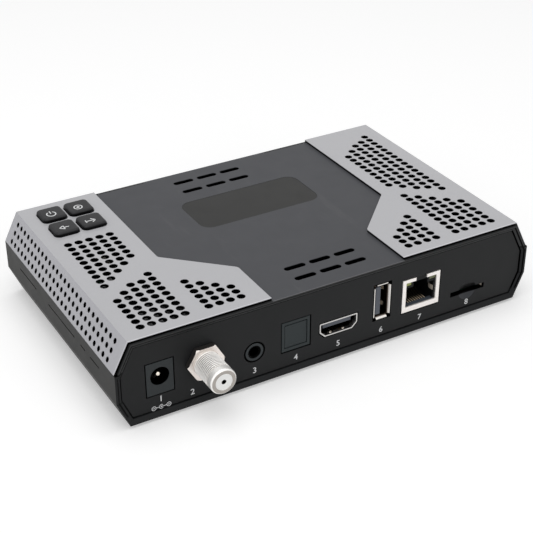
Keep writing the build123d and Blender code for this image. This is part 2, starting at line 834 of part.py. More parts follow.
# --- Keys: cap above the lid, flange under it, stem down to the switch plunger ---
key_top = body_height + key_rise
key_flange_top = lid_under - key_gap
key_flange_under = key_flange_top - key_flange_thickness
plunger_top = button_board_top + switch_height + plunger_rise
plunger_bottom = button_board_top + switch_height - plunger_depth
for key_name, key_place in zip(key_names, key_places):
    with BuildPart() as key:
        with BuildSketch(level(key_flange_top)):
            with Locations(key_place):
                RectangleRounded(key_width, key_length, key_rounding)
        extrude(amount=key_top - key_flange_top)
        fillet(key.faces().sort_by(Axis.Z)[-1].edges(), key_edge)
        with BuildSketch(level(key_flange_under)):
            with Locations(key_place):
                RectangleRounded(key_flange_width, key_flange_length, key_rounding)
        extrude(amount=key_flange_thickness)
        with BuildSketch(level(plunger_top)):
            with Locations(key_place):
                Circle(key_stem_diameter / 2)
        extrude(amount=key_flange_under - plunger_top)
    key.part.label = f"{key_name}_key"
    export_step(key.part, f"parts/{key_name}_key.step")

    with BuildPart() as plunger:
        with BuildSketch(level(plunger_bottom)):
            with Locations(key_place):
                Circle(plunger_diameter / 2)
        extrude(amount=plunger_top - plunger_bottom)
    plunger.part.label = f"{key_name}_plunger"
    export_step(plunger.part, f"parts/{key_name}_plunger.step")

with BuildPart() as tact_switches:
    with BuildSketch(level(button_board_top)):
        with Locations(*key_places):
            RectangleRounded(switch_size, switch_size, switch_rounding)
    extrude(amount=switch_height)
    with BuildSketch(level(plunger_bottom - key_travel - slide_gap)):
        with Locations(*key_places):
            Circle(plunger_diameter / 2 + pin_gap)
    extrude(amount=switch_height, mode=Mode.SUBTRACT)
tact_switches.part.label = "tact_switches"
export_step(tact_switches.part, "parts/tact_switches.step")

with BuildPart() as button_board:
    with BuildSketch(level(button_board_top - board_thickness)):
        with Locations(key_centre):
            Rectangle(button_board_width, button_board_length)
        with Locations(*button_post_places):
            Circle(board_screw_diameter / 2 + screw_gap, mode=Mode.SUBTRACT)
    extrude(amount=board_thickness)
button_board.part.label = "button_board"
export_step(button_board.part, "parts/button_board.step")

# --- Main board, notched round the case's screw posts ---
notch_radius = case_post_radius + board_post_gap
notch_places = [place for place in case_screw_places if board_front < place[1] < board_rear]
with BuildPart() as main_board:
    with BuildSketch(level(board_under)):
        with Locations((0, (board_front + board_rear) / 2)):
            Rectangle(2 * board_half_width, board_rear - board_front)
        # Notches open at the board's sides
        for across, along in notch_places:
            with Locations((across, along)):
                Circle(notch_radius, mode=Mode.SUBTRACT)
            with Locations((copysign(board_half_width, across), along)):
                Rectangle(2 * (board_half_width - abs(across)), 2 * notch_radius, mode=Mode.SUBTRACT)
        with Locations(*board_screw_places):
            Circle(board_screw_diameter / 2 + screw_gap, mode=Mode.SUBTRACT)
    extrude(amount=board_thickness)
main_board.part.label = "main_board"
export_step(main_board.part, "parts/main_board.step")


def screw_set(places, head_under, head_diameter, head_height, shank_diameter, shank_length):
    """Pan-head screws with crossed drives; a negative length points the shank up and the head down."""
    upwards = 1 if shank_length > 0 else -1
    with BuildPart() as screws:
        with BuildSketch(level(head_under)):
            with Locations(*places):
                Circle(head_diameter / 2)
        extrude(amount=upwards * head_height)
        with BuildSketch(level(head_under)):
            with Locations(*places):
                Circle(shank_diameter / 2)
        extrude(amount=-shank_length)
        with BuildSketch(level(head_under + upwards * head_height)):
            with Locations(*places):
                Rectangle(head_diameter * 0.6, head_diameter * 0.15)
                Rectangle(head_diameter * 0.15, head_diameter * 0.6)
        extrude(amount=-upwards * head_height / 2, mode=Mode.SUBTRACT)
    return screws.part


main_screws = screw_set(
    board_screw_places, board_top, board_screw_head, board_screw_head_height, board_screw_diameter, board_screw_length
)
key_board_screws = screw_set(
    button_post_places,
    button_board_top,
    board_screw_head,
    board_screw_head_height,
    board_screw_diameter,
    board_screw_length,
)
with BuildPart() as board_screws:
    add(main_screws)
    add(key_board_screws)
board_screws.part.label = "board_screws"
export_step(board_screws.part, "parts/board_screws.step")

with BuildPart() as case_screws:
    add(
        screw_set(
            case_screw_places,
            counterbore_depth,
            case_screw_head,
            case_screw_head_height,
            case_screw_diameter,
            -case_screw_length,
        )
    )
case_screws.part.label = "case_screws"
export_step(case_screws.part, "parts/case_screws.step")

with BuildPart() as rubber_feet:
    with BuildSketch(level(-foot_rise)):
        with Locations(*foot_places):
            Circle(foot_diameter / 2)
    extrude(amount=foot_rise + foot_recess)
    chamfer(rubber_feet.edges().group_by(Axis.Z)[0], foot_edge)
rubber_feet.part.label = "rubber_feet"
export_step(rubber_feet.part, "parts/rubber_feet.step")


def along(x, height):
    """Plane through a connector's axis: local X runs rearwards, local Y runs up, for profiles turned about X."""
    return Plane(origin=(x, 0, height), x_dir=(0, 1, 0), z_dir=(1, 0, 0))


# --- Power jack ---
power_bore_end_y = panel_face_y - power_bore_depth
power_rear_y = panel_face_y - power_front_depth - power_body_depth
power_bore_floor = power_axis_height - power_bore_diameter / 2
power_channel_length = power_body_depth - power_back_wall
with BuildPart() as power_jack_housing:
    with BuildSketch(behind(panel_face_y)):
        with Locations((power_x, board_top)):
            Rectangle(power_width, power_height, align=(Align.CENTER, Align.MIN))
    extrude(amount=power_front_depth)
    with BuildSketch(behind(panel_face_y - power_front_depth)):
        with Locations((power_x, board_top)):
            body_rise = power_axis_height + power_bore_diameter / 2 + power_top_wall - board_top
            Rectangle(power_body_width, body_rise, align=(Align.CENTER, Align.MIN))
    extrude(amount=power_body_depth)
    with BuildSketch(behind(panel_face_y)):
        with Locations((power_x, power_axis_height)):
            Circle(power_bore_diameter / 2)
    extrude(amount=power_bore_depth, mode=Mode.SUBTRACT)
    with BuildSketch(behind(power_bore_end_y)):
        with Locations((power_x, power_axis_height)):
            Circle(power_pin_seat_diameter / 2 + seat_gap)
    extrude(amount=power_bore_depth, mode=Mode.SUBTRACT)
    # Channel for the spring, under the bore and open towards the board
    with BuildSketch(behind(panel_face_y - power_front_depth)):
        with Locations((power_x, board_top)):
            channel_rise = power_bore_floor + power_spring_opening - board_top
            Rectangle(power_spring_width + 2 * seat_gap, channel_rise, align=(Align.CENTER, Align.MIN))
    extrude(amount=power_channel_length, mode=Mode.SUBTRACT)
power_jack_housing.part.label = "power_jack_housing"
export_step(power_jack_housing.part, "parts/power_jack_housing.step")

with BuildPart() as power_jack_pin:
    with BuildSketch(behind(panel_face_y - power_pin_setback)):
        with Locations((power_x, power_axis_height)):
            Circle(power_pin_diameter / 2)
    extrude(amount=panel_face_y - power_pin_setback - power_rear_y)
    fillet(power_jack_pin.edges().sort_by(Axis.Y)[-1], power_pin_diameter * 0.45)
    with BuildSketch(behind(power_bore_end_y)):
        with Locations((power_x, power_axis_height)):
            Circle(power_pin_seat_diameter / 2)
    extrude(amount=power_bore_end_y - power_rear_y)
    with BuildSketch(behind(power_rear_y)):
        with Locations((power_x, board_top)):
            lug_height = power_axis_height + power_pin_diameter / 2 - board_top
            Rectangle(power_pin_diameter, lug_height, align=(Align.CENTER, Align.MIN))
    extrude(amount=power_lug_thickness)
power_jack_pin.part.label = "power_jack_pin"
export_step(power_jack_pin.part, "parts/power_jack_pin.step")

with BuildPart() as power_jack_spring:
    spring_top = power_bore_floor - seat_gap
    spring_start_y = panel_face_y - power_front_depth - seat_gap
    spring_length = power_channel_length - 2 * seat_gap
    with BuildSketch(behind(spring_start_y)):
        with Locations((power_x, spring_top)):
            Rectangle(power_spring_width, power_spring_sheet, align=(Align.CENTER, Align.MAX))
    extrude(amount=spring_length)
    with BuildSketch(behind(spring_start_y - spring_length + power_spring_sheet)):
        with Locations((power_x, board_top)):
            Rectangle(power_spring_width, spring_top - board_top, align=(Align.CENTER, Align.MIN))
    extrude(amount=power_spring_sheet)
power_jack_spring.part.label = "power_jack_spring"
export_step(power_jack_spring.part, "parts/power_jack_spring.step")

# --- Antenna connector on the tuner can ---
antenna_tip_y = rear_y + antenna_reach
can_rear_y = port_back_y - tuner_sheet - seat_gap
can_front_y = can_rear_y - tuner_depth
neck_end_y = can_rear_y - tuner_sheet - antenna_neck_reach
collar_y = antenna_tip_y - antenna_collar
thread_radius = antenna_thread_diameter / 2
root_radius = antenna_root_diameter / 2
thread_start_y = collar_y - antenna_thread_turns * antenna_thread_pitch
thread_profile = [(thread_start_y, thread_radius)]
for turn in range(antenna_thread_turns):
    turn_y = thread_start_y + turn * antenna_thread_pitch
    thread_profile += [
        (turn_y + 0.25 * antenna_thread_pitch, root_radius),
        (turn_y + 0.5 * antenna_thread_pitch, root_radius),
        (turn_y + 0.75 * antenna_thread_pitch, thread_radius),
        (turn_y + antenna_thread_pitch, thread_radius),
    ]
with BuildPart() as antenna_barrel:
    with BuildSketch(along(antenna_x, antenna_height)) as barrel_profile:
        Polygon(
            (neck_end_y, antenna_bore / 2),
            (neck_end_y, antenna_neck_diameter / 2),
            (can_rear_y, antenna_neck_diameter / 2),
            (can_rear_y, thread_radius),
            *thread_profile,
            (antenna_tip_y, thread_radius),
            (antenna_tip_y, antenna_bore / 2),
            align=None,
        )
        tip_corner = barrel_profile.vertices().group_by(Axis.X)[-1].sort_by(Axis.Y)[-1]
        fillet(tip_corner, antenna_collar_rounding)
    revolve(axis=Axis((antenna_x, 0, antenna_height), (0, 1, 0)))
antenna_barrel.part.label = "antenna_barrel"
export_step(antenna_barrel.part, "parts/antenna_barrel.step")

with BuildPart() as antenna_nut:
    nut_corner_radius = antenna_nut_flats / 2 / cos(radians(30))
    with BuildSketch(behind(panel_face_y + antenna_nut_thickness)):
        with Locations((antenna_x, antenna_height)):
            Circle(nut_corner_radius)
    extrude(amount=antenna_nut_thickness)
    chamfer(antenna_nut.edges().sort_by(Axis.Y)[-1], antenna_nut_chamfer)
    with BuildSketch(behind(panel_face_y + antenna_nut_thickness)):
        with Locations((antenna_x, antenna_height)):
            RegularPolygon(nut_corner_radius, 6)
            Circle(thread_radius + seat_gap, mode=Mode.SUBTRACT)
    extrude(amount=antenna_nut_thickness, mode=Mode.INTERSECT)
antenna_nut.part.label = "antenna_nut"
export_step(antenna_nut.part, "parts/antenna_nut.step")

insulator_face_y = antenna_tip_y - antenna_insulator_setback
contact_face_y = insulator_face_y - antenna_socket_depth
with BuildPart() as antenna_insulator:
    with BuildSketch(along(antenna_x, antenna_height)):
        Polygon(
            (neck_end_y, antenna_contact_diameter / 2 + seat_gap),
            (neck_end_y, antenna_bore / 2 - seat_gap),
            (insulator_face_y, antenna_bore / 2 - seat_gap),
            (insulator_face_y, antenna_entry_diameter / 2),
            (insulator_face_y - antenna_entry_depth, antenna_contact_bore / 2),
            (contact_face_y + seat_gap, antenna_contact_bore / 2),
            (contact_face_y + seat_gap, antenna_contact_diameter / 2 + seat_gap),
            align=None,
        )
    revolve(axis=Axis((antenna_x, 0, antenna_height), (0, 1, 0)))
antenna_insulator.part.label = "antenna_insulator"
export_step(antenna_insulator.part, "parts/antenna_insulator.step")

with BuildPart() as antenna_contact:
    with BuildSketch(behind(contact_face_y)):
        with Locations((antenna_x, antenna_height)):
            Circle(antenna_contact_diameter / 2)
    extrude(amount=contact_face_y - neck_end_y + antenna_neck_reach)
    with BuildSketch(behind(contact_face_y)):
        with Locations((antenna_x, antenna_height)):
            Circle(antenna_contact_bore / 2)
    extrude(amount=antenna_contact_bore_depth, mode=Mode.SUBTRACT)
antenna_contact.part.label = "antenna_contact"
export_step(antenna_contact.part, "parts/antenna_contact.step")

can_centre = (antenna_x, (can_rear_y + can_front_y) / 2)
with BuildPart() as tuner_can:
    with BuildSketch(level(board_top)):
        with Locations(can_centre):
            Rectangle(tuner_width, tuner_depth)
            Rectangle(tuner_width - 2 * tuner_sheet, tuner_depth - 2 * tuner_sheet, mode=Mode.SUBTRACT)
            Rectangle(tuner_width, tuner_sheet)
    extrude(amount=tuner_height)
    with BuildSketch(behind(can_rear_y)):
        with Locations((antenna_x, antenna_height)):
            Circle(antenna_neck_diameter / 2 + seat_gap)
    extrude(amount=2 * tuner_sheet, mode=Mode.SUBTRACT)
tuner_can.part.label = "tuner_can"
export_step(tuner_can.part, "parts/tuner_can.step")

with BuildPart() as tuner_cover:
    cover_extra = 2 * (tuner_sheet + seat_gap)
    cover_under = board_top + tuner_height
    with BuildSketch(level(cover_under - tuner_cover_skirt)):
        with Locations(can_centre):
            Rectangle(tuner_width + cover_extra, tuner_depth + cover_extra)
    extrude(amount=tuner_cover_skirt + tuner_sheet)
    with BuildSketch(level(cover_under - tuner_cover_skirt)):
        with Locations(can_centre):
            Rectangle(tuner_width + 2 * seat_gap, tuner_depth + 2 * seat_gap)
    extrude(amount=tuner_cover_skirt, mode=Mode.SUBTRACT)
    with BuildSketch(behind(can_rear_y + cover_extra)):
        with Locations((antenna_x, antenna_height)):
            Circle(thread_radius + port_gap)
    extrude(amount=2 * cover_extra, mode=Mode.SUBTRACT)
tuner_cover.part.label = "tuner_cover"
export_step(tuner_cover.part, "parts/tuner_cover.step")

# --- Audio-video jack ---
av_face_y = panel_face_y - seat_gap
av_sleeve_end_y = port_back_y - av_sleeve_seat
with BuildPart() as av_jack_housing:
    with BuildSketch(behind(port_back_y)):
        with Locations((av_x, board_top)):
            Rectangle(av_width, av_body_height, align=(Align.CENTER, Align.MIN))
    extrude(amount=av_body_depth)
    with BuildSketch(behind(port_back_y)):
        with Locations((av_x, av_height)):
            Circle(av_ring_diameter / 2 + seat_gap)
    extrude(amount=av_sleeve_seat, mode=Mode.SUBTRACT)
    with BuildSketch(behind(av_sleeve_end_y)):
        with Locations((av_x, av_height)):
            Circle(av_bore_diameter / 2 + av_plug_room)
            Rectangle(av_channel_width, av_spring_width + 2 * seat_gap)
    extrude(amount=av_body_depth, mode=Mode.SUBTRACT)
av_jack_housing.part.label = "av_jack_housing"
export_step(av_jack_housing.part, "parts/av_jack_housing.step")

with BuildPart() as av_jack_sleeve:
    with BuildSketch(behind(av_face_y)):
        with Locations((av_x, av_height)):
            Circle(av_ring_diameter / 2)
            Circle(av_bore_diameter / 2, mode=Mode.SUBTRACT)
    extrude(amount=av_face_y - av_sleeve_end_y)
    mouth_edges = av_jack_sleeve.edges().group_by(Axis.Y)[-1].sort_by(SortBy.LENGTH)
    chamfer(mouth_edges[0], av_mouth_chamfer)
av_jack_sleeve.part.label = "av_jack_sleeve"
export_step(av_jack_sleeve.part, "parts/av_jack_sleeve.step")

with BuildPart() as av_jack_contacts:
    with BuildSketch(behind(av_sleeve_end_y - slide_gap)):
        for side in (-1, 1):
            with Locations((av_x + side * (av_channel_width - av_spring_thickness) / 2, av_height)):
                Rectangle(av_spring_thickness, av_spring_width)
    extrude(amount=av_body_depth - av_sleeve_seat - slide_gap)
av_jack_contacts.part.label = "av_jack_contacts"
export_step(av_jack_contacts.part, "parts/av_jack_contacts.step")

# --- Optical jack and its hinged shutter ---
optical_face_y = panel_face_y - optical_setback
optical_frame_back_y = optical_face_y - optical_frame
optical_cavity_end_y = optical_frame_back_y - optical_cavity_depth
optical_rear_y = optical_face_y - optical_depth
opening_bottom = board_top + optical_sill
opening_top = opening_bottom + optical_opening_height
hinge_height = opening_top - slide_gap
hinge_y = optical_frame_back_y - slide_gap - shutter_thickness / 2
cavity_width = optical_opening_width + 2 * shutter_overlap + 2 * slide_gap
cavity_bottom = opening_bottom - shutter_overlap - slide_gap
cavity_top = hinge_height + shutter_thickness / 2 + slide_gap
with BuildPart() as optical_jack_housing:
    with BuildSketch(behind(optical_face_y)):
        with Locations((optical_x, board_top)):
            Rectangle(optical_width, optical_height, align=(Align.CENTER, Align.MIN))
    extrude(amount=optical_depth)
    with BuildSketch(behind(optical_face_y)):
        with Locations((optical_x, opening_bottom)):
            Rectangle(optical_opening_width, optical_opening_height, align=(Align.CENTER, Align.MIN))
    extrude(amount=optical_frame, mode=Mode.SUBTRACT)
    with BuildSketch(behind(optical_frame_back_y)):
        with Locations((optical_x, cavity_bottom)):
            Rectangle(cavity_width, cavity_top - cavity_bottom, align=(Align.CENTER, Align.MIN))
    extrude(amount=optical_cavity_depth, mode=Mode.SUBTRACT)
    with BuildSketch(behind(optical_cavity_end_y)):
        with Locations((optical_x, (opening_bottom + opening_top) / 2)):
            Circle(emitter_diameter / 2 + seat_gap)
    extrude(amount=optical_depth, mode=Mode.SUBTRACT)
    with BuildSketch(Plane.YZ.offset(optical_x - optical_width / 2)):
        with Locations((hinge_y, hinge_height)):
            Circle(shutter_pin_diameter / 2 + pin_gap)
    extrude(amount=optical_width, mode=Mode.SUBTRACT)
optical_jack_housing.part.label = "optical_jack_housing"
export_step(optical_jack_housing.part, "parts/optical_jack_housing.step")

with BuildPart() as optical_shutter:
    flap_width = cavity_width - 2 * slide_gap
    flap_bottom = cavity_bottom + slide_gap
    with BuildSketch(behind(hinge_y + shutter_thickness / 2)):
        with Locations((optical_x, flap_bottom)):
            Rectangle(flap_width, hinge_height - flap_bottom, align=(Align.CENTER, Align.MIN))
    extrude(amount=shutter_thickness)
    # Raised pad that fills the opening
    with BuildSketch(behind(optical_face_y - shutter_pad_setback)):
        with Locations((optical_x, opening_bottom + slide_gap)):
            pad_height = hinge_height - slide_gap - opening_bottom - slide_gap
            Rectangle(optical_opening_width - 2 * slide_gap, pad_height, align=(Align.CENTER, Align.MIN))
    extrude(amount=optical_face_y - shutter_pad_setback - hinge_y)
    # Knuckle and hinge pins
    with BuildSketch(Plane.YZ.offset(optical_x - flap_width / 2)):
        with Locations((hinge_y, hinge_height)):
            Circle(shutter_thickness / 2)
    extrude(amount=flap_width)
    pin_span = optical_width - 2 * pin_gap
    with BuildSketch(Plane.YZ.offset(optical_x - pin_span / 2)):
        with Locations((hinge_y, hinge_height)):
            Circle(shutter_pin_diameter / 2)
    extrude(amount=pin_span)
optical_shutter.part.label = "optical_shutter"
export_step(optical_shutter.part, "parts/optical_shutter.step")

with BuildPart() as optical_emitter:
    with BuildSketch(behind(optical_rear_y)):
        with Locations((optical_x, (opening_bottom + opening_top) / 2)):
            Rectangle(emitter_block, emitter_block)
    extrude(amount=emitter_block_thickness)
    with BuildSketch(behind(optical_cavity_end_y + emitter_reach)):
        with Locations((optical_x, (opening_bottom + opening_top) / 2)):
            Circle(emitter_diameter / 2)
    extrude(amount=optical_cavity_end_y + emitter_reach - optical_rear_y)
optical_emitter.part.label = "optical_emitter"
export_step(optical_emitter.part, "parts/optical_emitter.step")


# --- Video port ---
def video_outline(inset):
    """Half-trapezoid outline of the video port, set in from its outer face, about (video_x, video_top)."""
    top_half = video_width / 2 - inset
    bottom_half = video_bottom_width / 2 - inset * 0.6
    return [
        (-top_half, -inset),
        (top_half, -inset),
        (top_half, -video_side_height + inset * 0.4),
        (bottom_half, -video_height + inset),
        (-bottom_half, -video_height + inset),
        (-top_half, -video_side_height + inset * 0.4),
    ]


video_rear_y = panel_face_y - video_depth
with BuildPart() as video_port_shell:
    with BuildSketch(behind(panel_face_y)) as video_section:
        with Locations((video_x, video_top)):
            Polygon(*video_outline(0), align=None)
        fillet(video_section.vertices(), video_corner)
    extrude(amount=video_depth)
    with BuildSketch(behind(panel_face_y)):
        with Locations((video_x, video_top)):
            Polygon(*video_outline(video_sheet), align=None)
    extrude(amount=video_depth - video_sheet, mode=Mode.SUBTRACT)
    with BuildSketch(level(board_top)):
        with Locations((video_x, (port_back_y + video_rear_y) / 2)):
            with GridLocations(video_bottom_width - leg_width, leg_spacing, 2, 2):
                Rectangle(leg_width, leg_width)
    extrude(amount=video_top - video_height + video_sheet / 2 - board_top)
video_port_shell.part.label = "video_port_shell"
export_step(video_port_shell.part, "parts/video_port_shell.step")

video_tongue_under = video_top - video_sheet - video_tongue_drop - video_tongue_thickness
with BuildPart() as video_port_tongue:
    with BuildSketch(behind(video_rear_y + video_sheet + tongue_base)):
        with Locations((video_x, video_top)):
            Polygon(*video_outline(video_sheet + seat_gap), align=None)
    extrude(amount=tongue_base - seat_gap)
    with BuildSketch(behind(panel_face_y - video_tongue_setback)):
        with Locations((video_x, video_tongue_under)):
            Rectangle(video_tongue_width, video_tongue_thickness, align=(Align.CENTER, Align.MIN))
    extrude(amount=video_depth - video_tongue_setback - video_sheet - tongue_base / 2)
video_port_tongue.part.label = "video_port_tongue"
export_step(video_port_tongue.part, "parts/video_port_tongue.step")

with BuildPart() as video_port_contacts:
    with BuildSketch(behind(panel_face_y - video_tongue_setback - contact_setback)):
        with Locations((video_x, video_tongue_under - contact_sheet / 2)):
            with GridLocations(video_contact_pitch, 1, video_contact_count, 1):
                Rectangle(video_contact_width, contact_sheet)
    extrude(amount=video_depth - video_tongue_setback - contact_setback - video_sheet - tongue_base - slide_gap)
video_port_contacts.part.label = "video_port_contacts"
export_step(video_port_contacts.part, "parts/video_port_contacts.step")

# --- Data port, standing on its side ---
data_centre = data_bottom + data_height / 2
data_rear_y = panel_face_y - data_depth
flare_start_y = panel_face_y - data_flare_depth
window_y = flare_start_y - data_window_setback - data_window_length / 2


with BuildPart() as data_port_shell:
    with BuildSketch(behind(flare_start_y)):
        with Locations((data_x, data_centre)):
            Rectangle(data_width, data_height)
    extrude(amount=data_depth - data_flare_depth)
    # Flared mouth
    for growth, flare_mode in ((0, Mode.ADD), (-data_sheet, Mode.SUBTRACT)):
        for ring_y, ring_growth in ((flare_start_y, growth), (panel_face_y, growth + data_flare)):
            with BuildSketch(behind(ring_y)):
                with Locations((data_x, data_centre)):
                    Rectangle(data_width + 2 * ring_growth, data_height + 2 * ring_growth)
        loft(ruled=True, mode=flare_mode)
    with BuildSketch(behind(flare_start_y)):
        with Locations((data_x, data_centre)):
            Rectangle(data_width - 2 * data_sheet, data_height - 2 * data_sheet)
    extrude(amount=data_depth - data_flare_depth - data_sheet, mode=Mode.SUBTRACT)
    # Cut corners part the flare into four lips
    with BuildSketch(behind(panel_face_y)):
        with Locations((data_x, data_centre)):
            with GridLocations(data_width, data_height, 2, 2):
                Rectangle(2 * data_flare, 2 * data_flare)
    extrude(amount=data_flare_depth, mode=Mode.SUBTRACT)
    # Spring windows in the wall that faces the contacts
    with BuildSketch(Plane.YZ.offset(data_x - data_width / 2)):
        with Locations((window_y, data_centre)):
            with GridLocations(1, data_window_spacing, 1, 2):
                Rectangle(data_window_length, data_window_width)
    extrude(amount=data_sheet, mode=Mode.SUBTRACT)
    with BuildSketch(level(board_top)):
        with Locations((data_x, (port_back_y + data_rear_y) / 2)):
            with GridLocations(data_width - leg_width, leg_spacing, 2, 2):
                Rectangle(leg_width, leg_width)
    extrude(amount=data_bottom + data_sheet / 2 - board_top)
data_port_shell.part.label = "data_port_shell"
export_step(data_port_shell.part, "parts/data_port_shell.step")

data_tongue_x = data_x + data_width / 2 - data_sheet - data_tongue_gap - data_tongue_thickness / 2
data_tongue_height = data_height - 2 * data_sheet - 2 * data_tongue_end_gap
with BuildPart() as data_port_tongue:
    with BuildSketch(behind(data_rear_y + data_sheet + tongue_base)):
        with Locations((data_x, data_centre)):
            plug_inset = 2 * (data_sheet + seat_gap)
            Rectangle(data_width - plug_inset, data_height - plug_inset)
    extrude(amount=tongue_base - seat_gap)
    with BuildSketch(behind(panel_face_y - data_tongue_setback)):
        with Locations((data_tongue_x, data_centre)):
            Rectangle(data_tongue_thickness, data_tongue_height)
    extrude(amount=data_depth - data_tongue_setback - data_sheet - tongue_base / 2)
data_port_tongue.part.label = "data_port_tongue"
export_step(data_port_tongue.part, "parts/data_port_tongue.step")

with BuildPart() as data_port_contacts:
    with BuildSketch(behind(panel_face_y - data_tongue_setback - contact_setback)):
        with Locations((data_tongue_x - (data_tongue_thickness + contact_sheet) / 2, data_centre)):
            with GridLocations(1, data_contact_pitch, 1, data_contact_count):
                Rectangle(contact_sheet, data_contact_width)
    extrude(amount=data_depth - data_tongue_setback - contact_setback - data_sheet - tongue_base - slide_gap)
data_port_contacts.part.label = "data_port_contacts"
export_step(data_port_contacts.part, "parts/data_port_contacts.step")

# --- Network jack ---
network_top = board_top + network_height
frame_opening_bottom = board_top + network_frame_bottom
frame_opening_top = network_top - network_frame_top
frame_opening_width = network_width - 2 * network_frame_side
insert_face_y = panel_face_y - network_frame_thickness
with BuildPart() as network_jack_shield:
    with BuildSketch(behind(panel_face_y)):
        with Locations((network_x, board_top)):
            Rectangle(network_width, network_height, align=(Align.CENTER, Align.MIN))
    extrude(amount=network_depth)
    with BuildSketch(behind(insert_face_y)):
        with Locations((network_x, board_top)):
            hollow_width = network_width - 2 * network_sheet
            Rectangle(hollow_width, network_height - network_sheet, align=(Align.CENTER, Align.MIN))
    extrude(amount=network_depth - network_frame_thickness - network_sheet, mode=Mode.SUBTRACT)
    with BuildSketch(behind(panel_face_y)):
        with Locations((network_x, frame_opening_bottom)):
            opening_rise = frame_opening_top - frame_opening_bottom
            Rectangle(frame_opening_width, opening_rise, align=(Align.CENTER, Align.MIN))
            Rectangle(network_notch_width, network_height, align=(Align.CENTER, Align.MIN))
    extrude(amount=network_frame_thickness, mode=Mode.SUBTRACT)
network_jack_shield.part.label = "network_jack_shield"
export_step(network_jack_shield.part, "parts/network_jack_shield.step")

insert_width = network_width - 2 * (network_sheet + seat_gap)
insert_height = network_height - network_sheet - seat_gap
light_height = frame_opening_top - network_light_height / 2
light_spread = frame_opening_width - network_light_width
light_slot_depth = network_cavity_depth
with BuildPart() as network_jack_insert:
    with BuildSketch(behind(insert_face_y - seat_gap)):
        with Locations((network_x, board_top)):
            Rectangle(insert_width, insert_height, align=(Align.CENTER, Align.MIN))
    extrude(amount=network_depth - network_frame_thickness - network_sheet - 2 * seat_gap)
    with BuildSketch(behind(insert_face_y)):
        with Locations((network_x, frame_opening_bottom)):
            Rectangle(network_cavity_width, network_cavity_height, align=(Align.CENTER, Align.MIN))
            step_top = network_cavity_height + network_step_height
            Rectangle(network_step_width, step_top, align=(Align.CENTER, Align.MIN))
    extrude(amount=network_cavity_depth, mode=Mode.SUBTRACT)
    with BuildSketch(behind(insert_face_y)):
        with Locations((network_x, light_height)):
            with GridLocations(light_spread, 1, 2, 1):
                Rectangle(network_light_width + 2 * seat_gap, network_light_height + 2 * seat_gap)
    extrude(amount=light_slot_depth, mode=Mode.SUBTRACT)
network_jack_insert.part.label = "network_jack_insert"
export_step(network_jack_insert.part, "parts/network_jack_insert.step")

with BuildPart() as network_jack_lights:
    with BuildSketch(behind(insert_face_y - network_light_setback)):
        with Locations((network_x, light_height)):
            with GridLocations(light_spread, 1, 2, 1):
                Rectangle(network_light_width, network_light_height)
    extrude(amount=light_slot_depth - network_light_setback - slide_gap)
network_jack_lights.part.label = "network_jack_lights"
export_step(network_jack_lights.part, "parts/network_jack_lights.step")

# Eight spring wires slope up from the cavity floor towards its back wall
wire_front = (insert_face_y - network_wire_start, frame_opening_bottom)
wire_back = (insert_face_y - network_cavity_depth, frame_opening_bottom + network_wire_rise)
network_contact_spread = (network_contact_count - 1) / 2
with BuildPart() as network_jack_contacts:
    for index in range(network_contact_count):
        wire_x = network_x + (index - network_contact_spread) * network_contact_pitch
        with BuildSketch(Plane.YZ.offset(wire_x - network_wire / 2)):
            Polygon(
                wire_front,
                (wire_front[0], wire_front[1] + network_wire),
                (wire_back[0], wire_back[1] + network_wire),
                wire_back,
                align=None,
            )
        extrude(amount=network_wire)
network_jack_contacts.part.label = "network_jack_contacts"
export_step(network_jack_contacts.part, "parts/network_jack_contacts.step")

# --- Card socket: base, metal cover and the slider that pushes the card back out ---
card_inner_width = card_width - 2 * card_sheet
slider_x = card_x - card_inner_width / 2 + seat_gap + card_rail + slide_gap + card_slider_width / 2
card_room_depth = card_depth - card_sheet - card_rail
slider_rear_y = port_back_y - card_room_depth + card_spring_room + card_slider_travel + card_slider_length
with BuildPart() as card_socket_base:
    with BuildSketch(level(board_top)):
        with Locations((card_x, port_back_y)):
            Rectangle(card_inner_width - 2 * seat_gap, card_depth - card_sheet, align=(Align.CENTER, Align.MAX))
    extrude(amount=card_height - card_sheet - seat_gap)
    with BuildSketch(level(board_top + card_floor)):
        with Locations((card_x, port_back_y)):
            card_room = card_inner_width - 2 * seat_gap - 2 * card_rail
            Rectangle(card_room, card_room_depth, align=(Align.CENTER, Align.MAX))
    extrude(amount=card_height, mode=Mode.SUBTRACT)
card_socket_base.part.label = "card_socket_base"
export_step(card_socket_base.part, "parts/card_socket_base.step")

with BuildPart() as card_socket_cover:
    with BuildSketch(level(board_top)):
        with Locations((card_x, port_back_y)):
            Rectangle(card_width, card_depth, align=(Align.CENTER, Align.MAX))
    extrude(amount=card_height)
    with BuildSketch(level(board_top)):
        with Locations((card_x, port_back_y)):
            Rectangle(card_inner_width, card_depth - card_sheet, align=(Align.CENTER, Align.MAX))
    extrude(amount=card_height - card_sheet, mode=Mode.SUBTRACT)
card_socket_cover.part.label = "card_socket_cover"
export_step(card_socket_cover.part, "parts/card_socket_cover.step")

with BuildPart() as card_slider:
    slider_rise = card_height - card_sheet - card_floor - 2 * pin_gap
    with BuildSketch(level(board_top + card_floor + pin_gap)):
        with Locations((slider_x, slider_rear_y)):
            Rectangle(card_slider_width, card_slider_length, align=(Align.CENTER, Align.MAX))
        with Locations((slider_x - card_slider_width / 2, slider_rear_y - card_slider_length)):
            Rectangle(card_slider_arm, card_slider_width, align=(Align.MIN, Align.MIN))
    extrude(amount=slider_rise)
card_slider.part.label = "card_slider"
export_step(card_slider.part, "parts/card_slider.step")

# --- Parts on the main board ---
with BuildPart() as main_processor:
    with BuildSketch(level(board_top)):
        with Locations(processor_centre):
            Rectangle(processor_size, processor_size)
    extrude(amount=processor_height)
main_processor.part.label = "main_processor"
export_step(main_processor.part, "parts/main_processor.step")

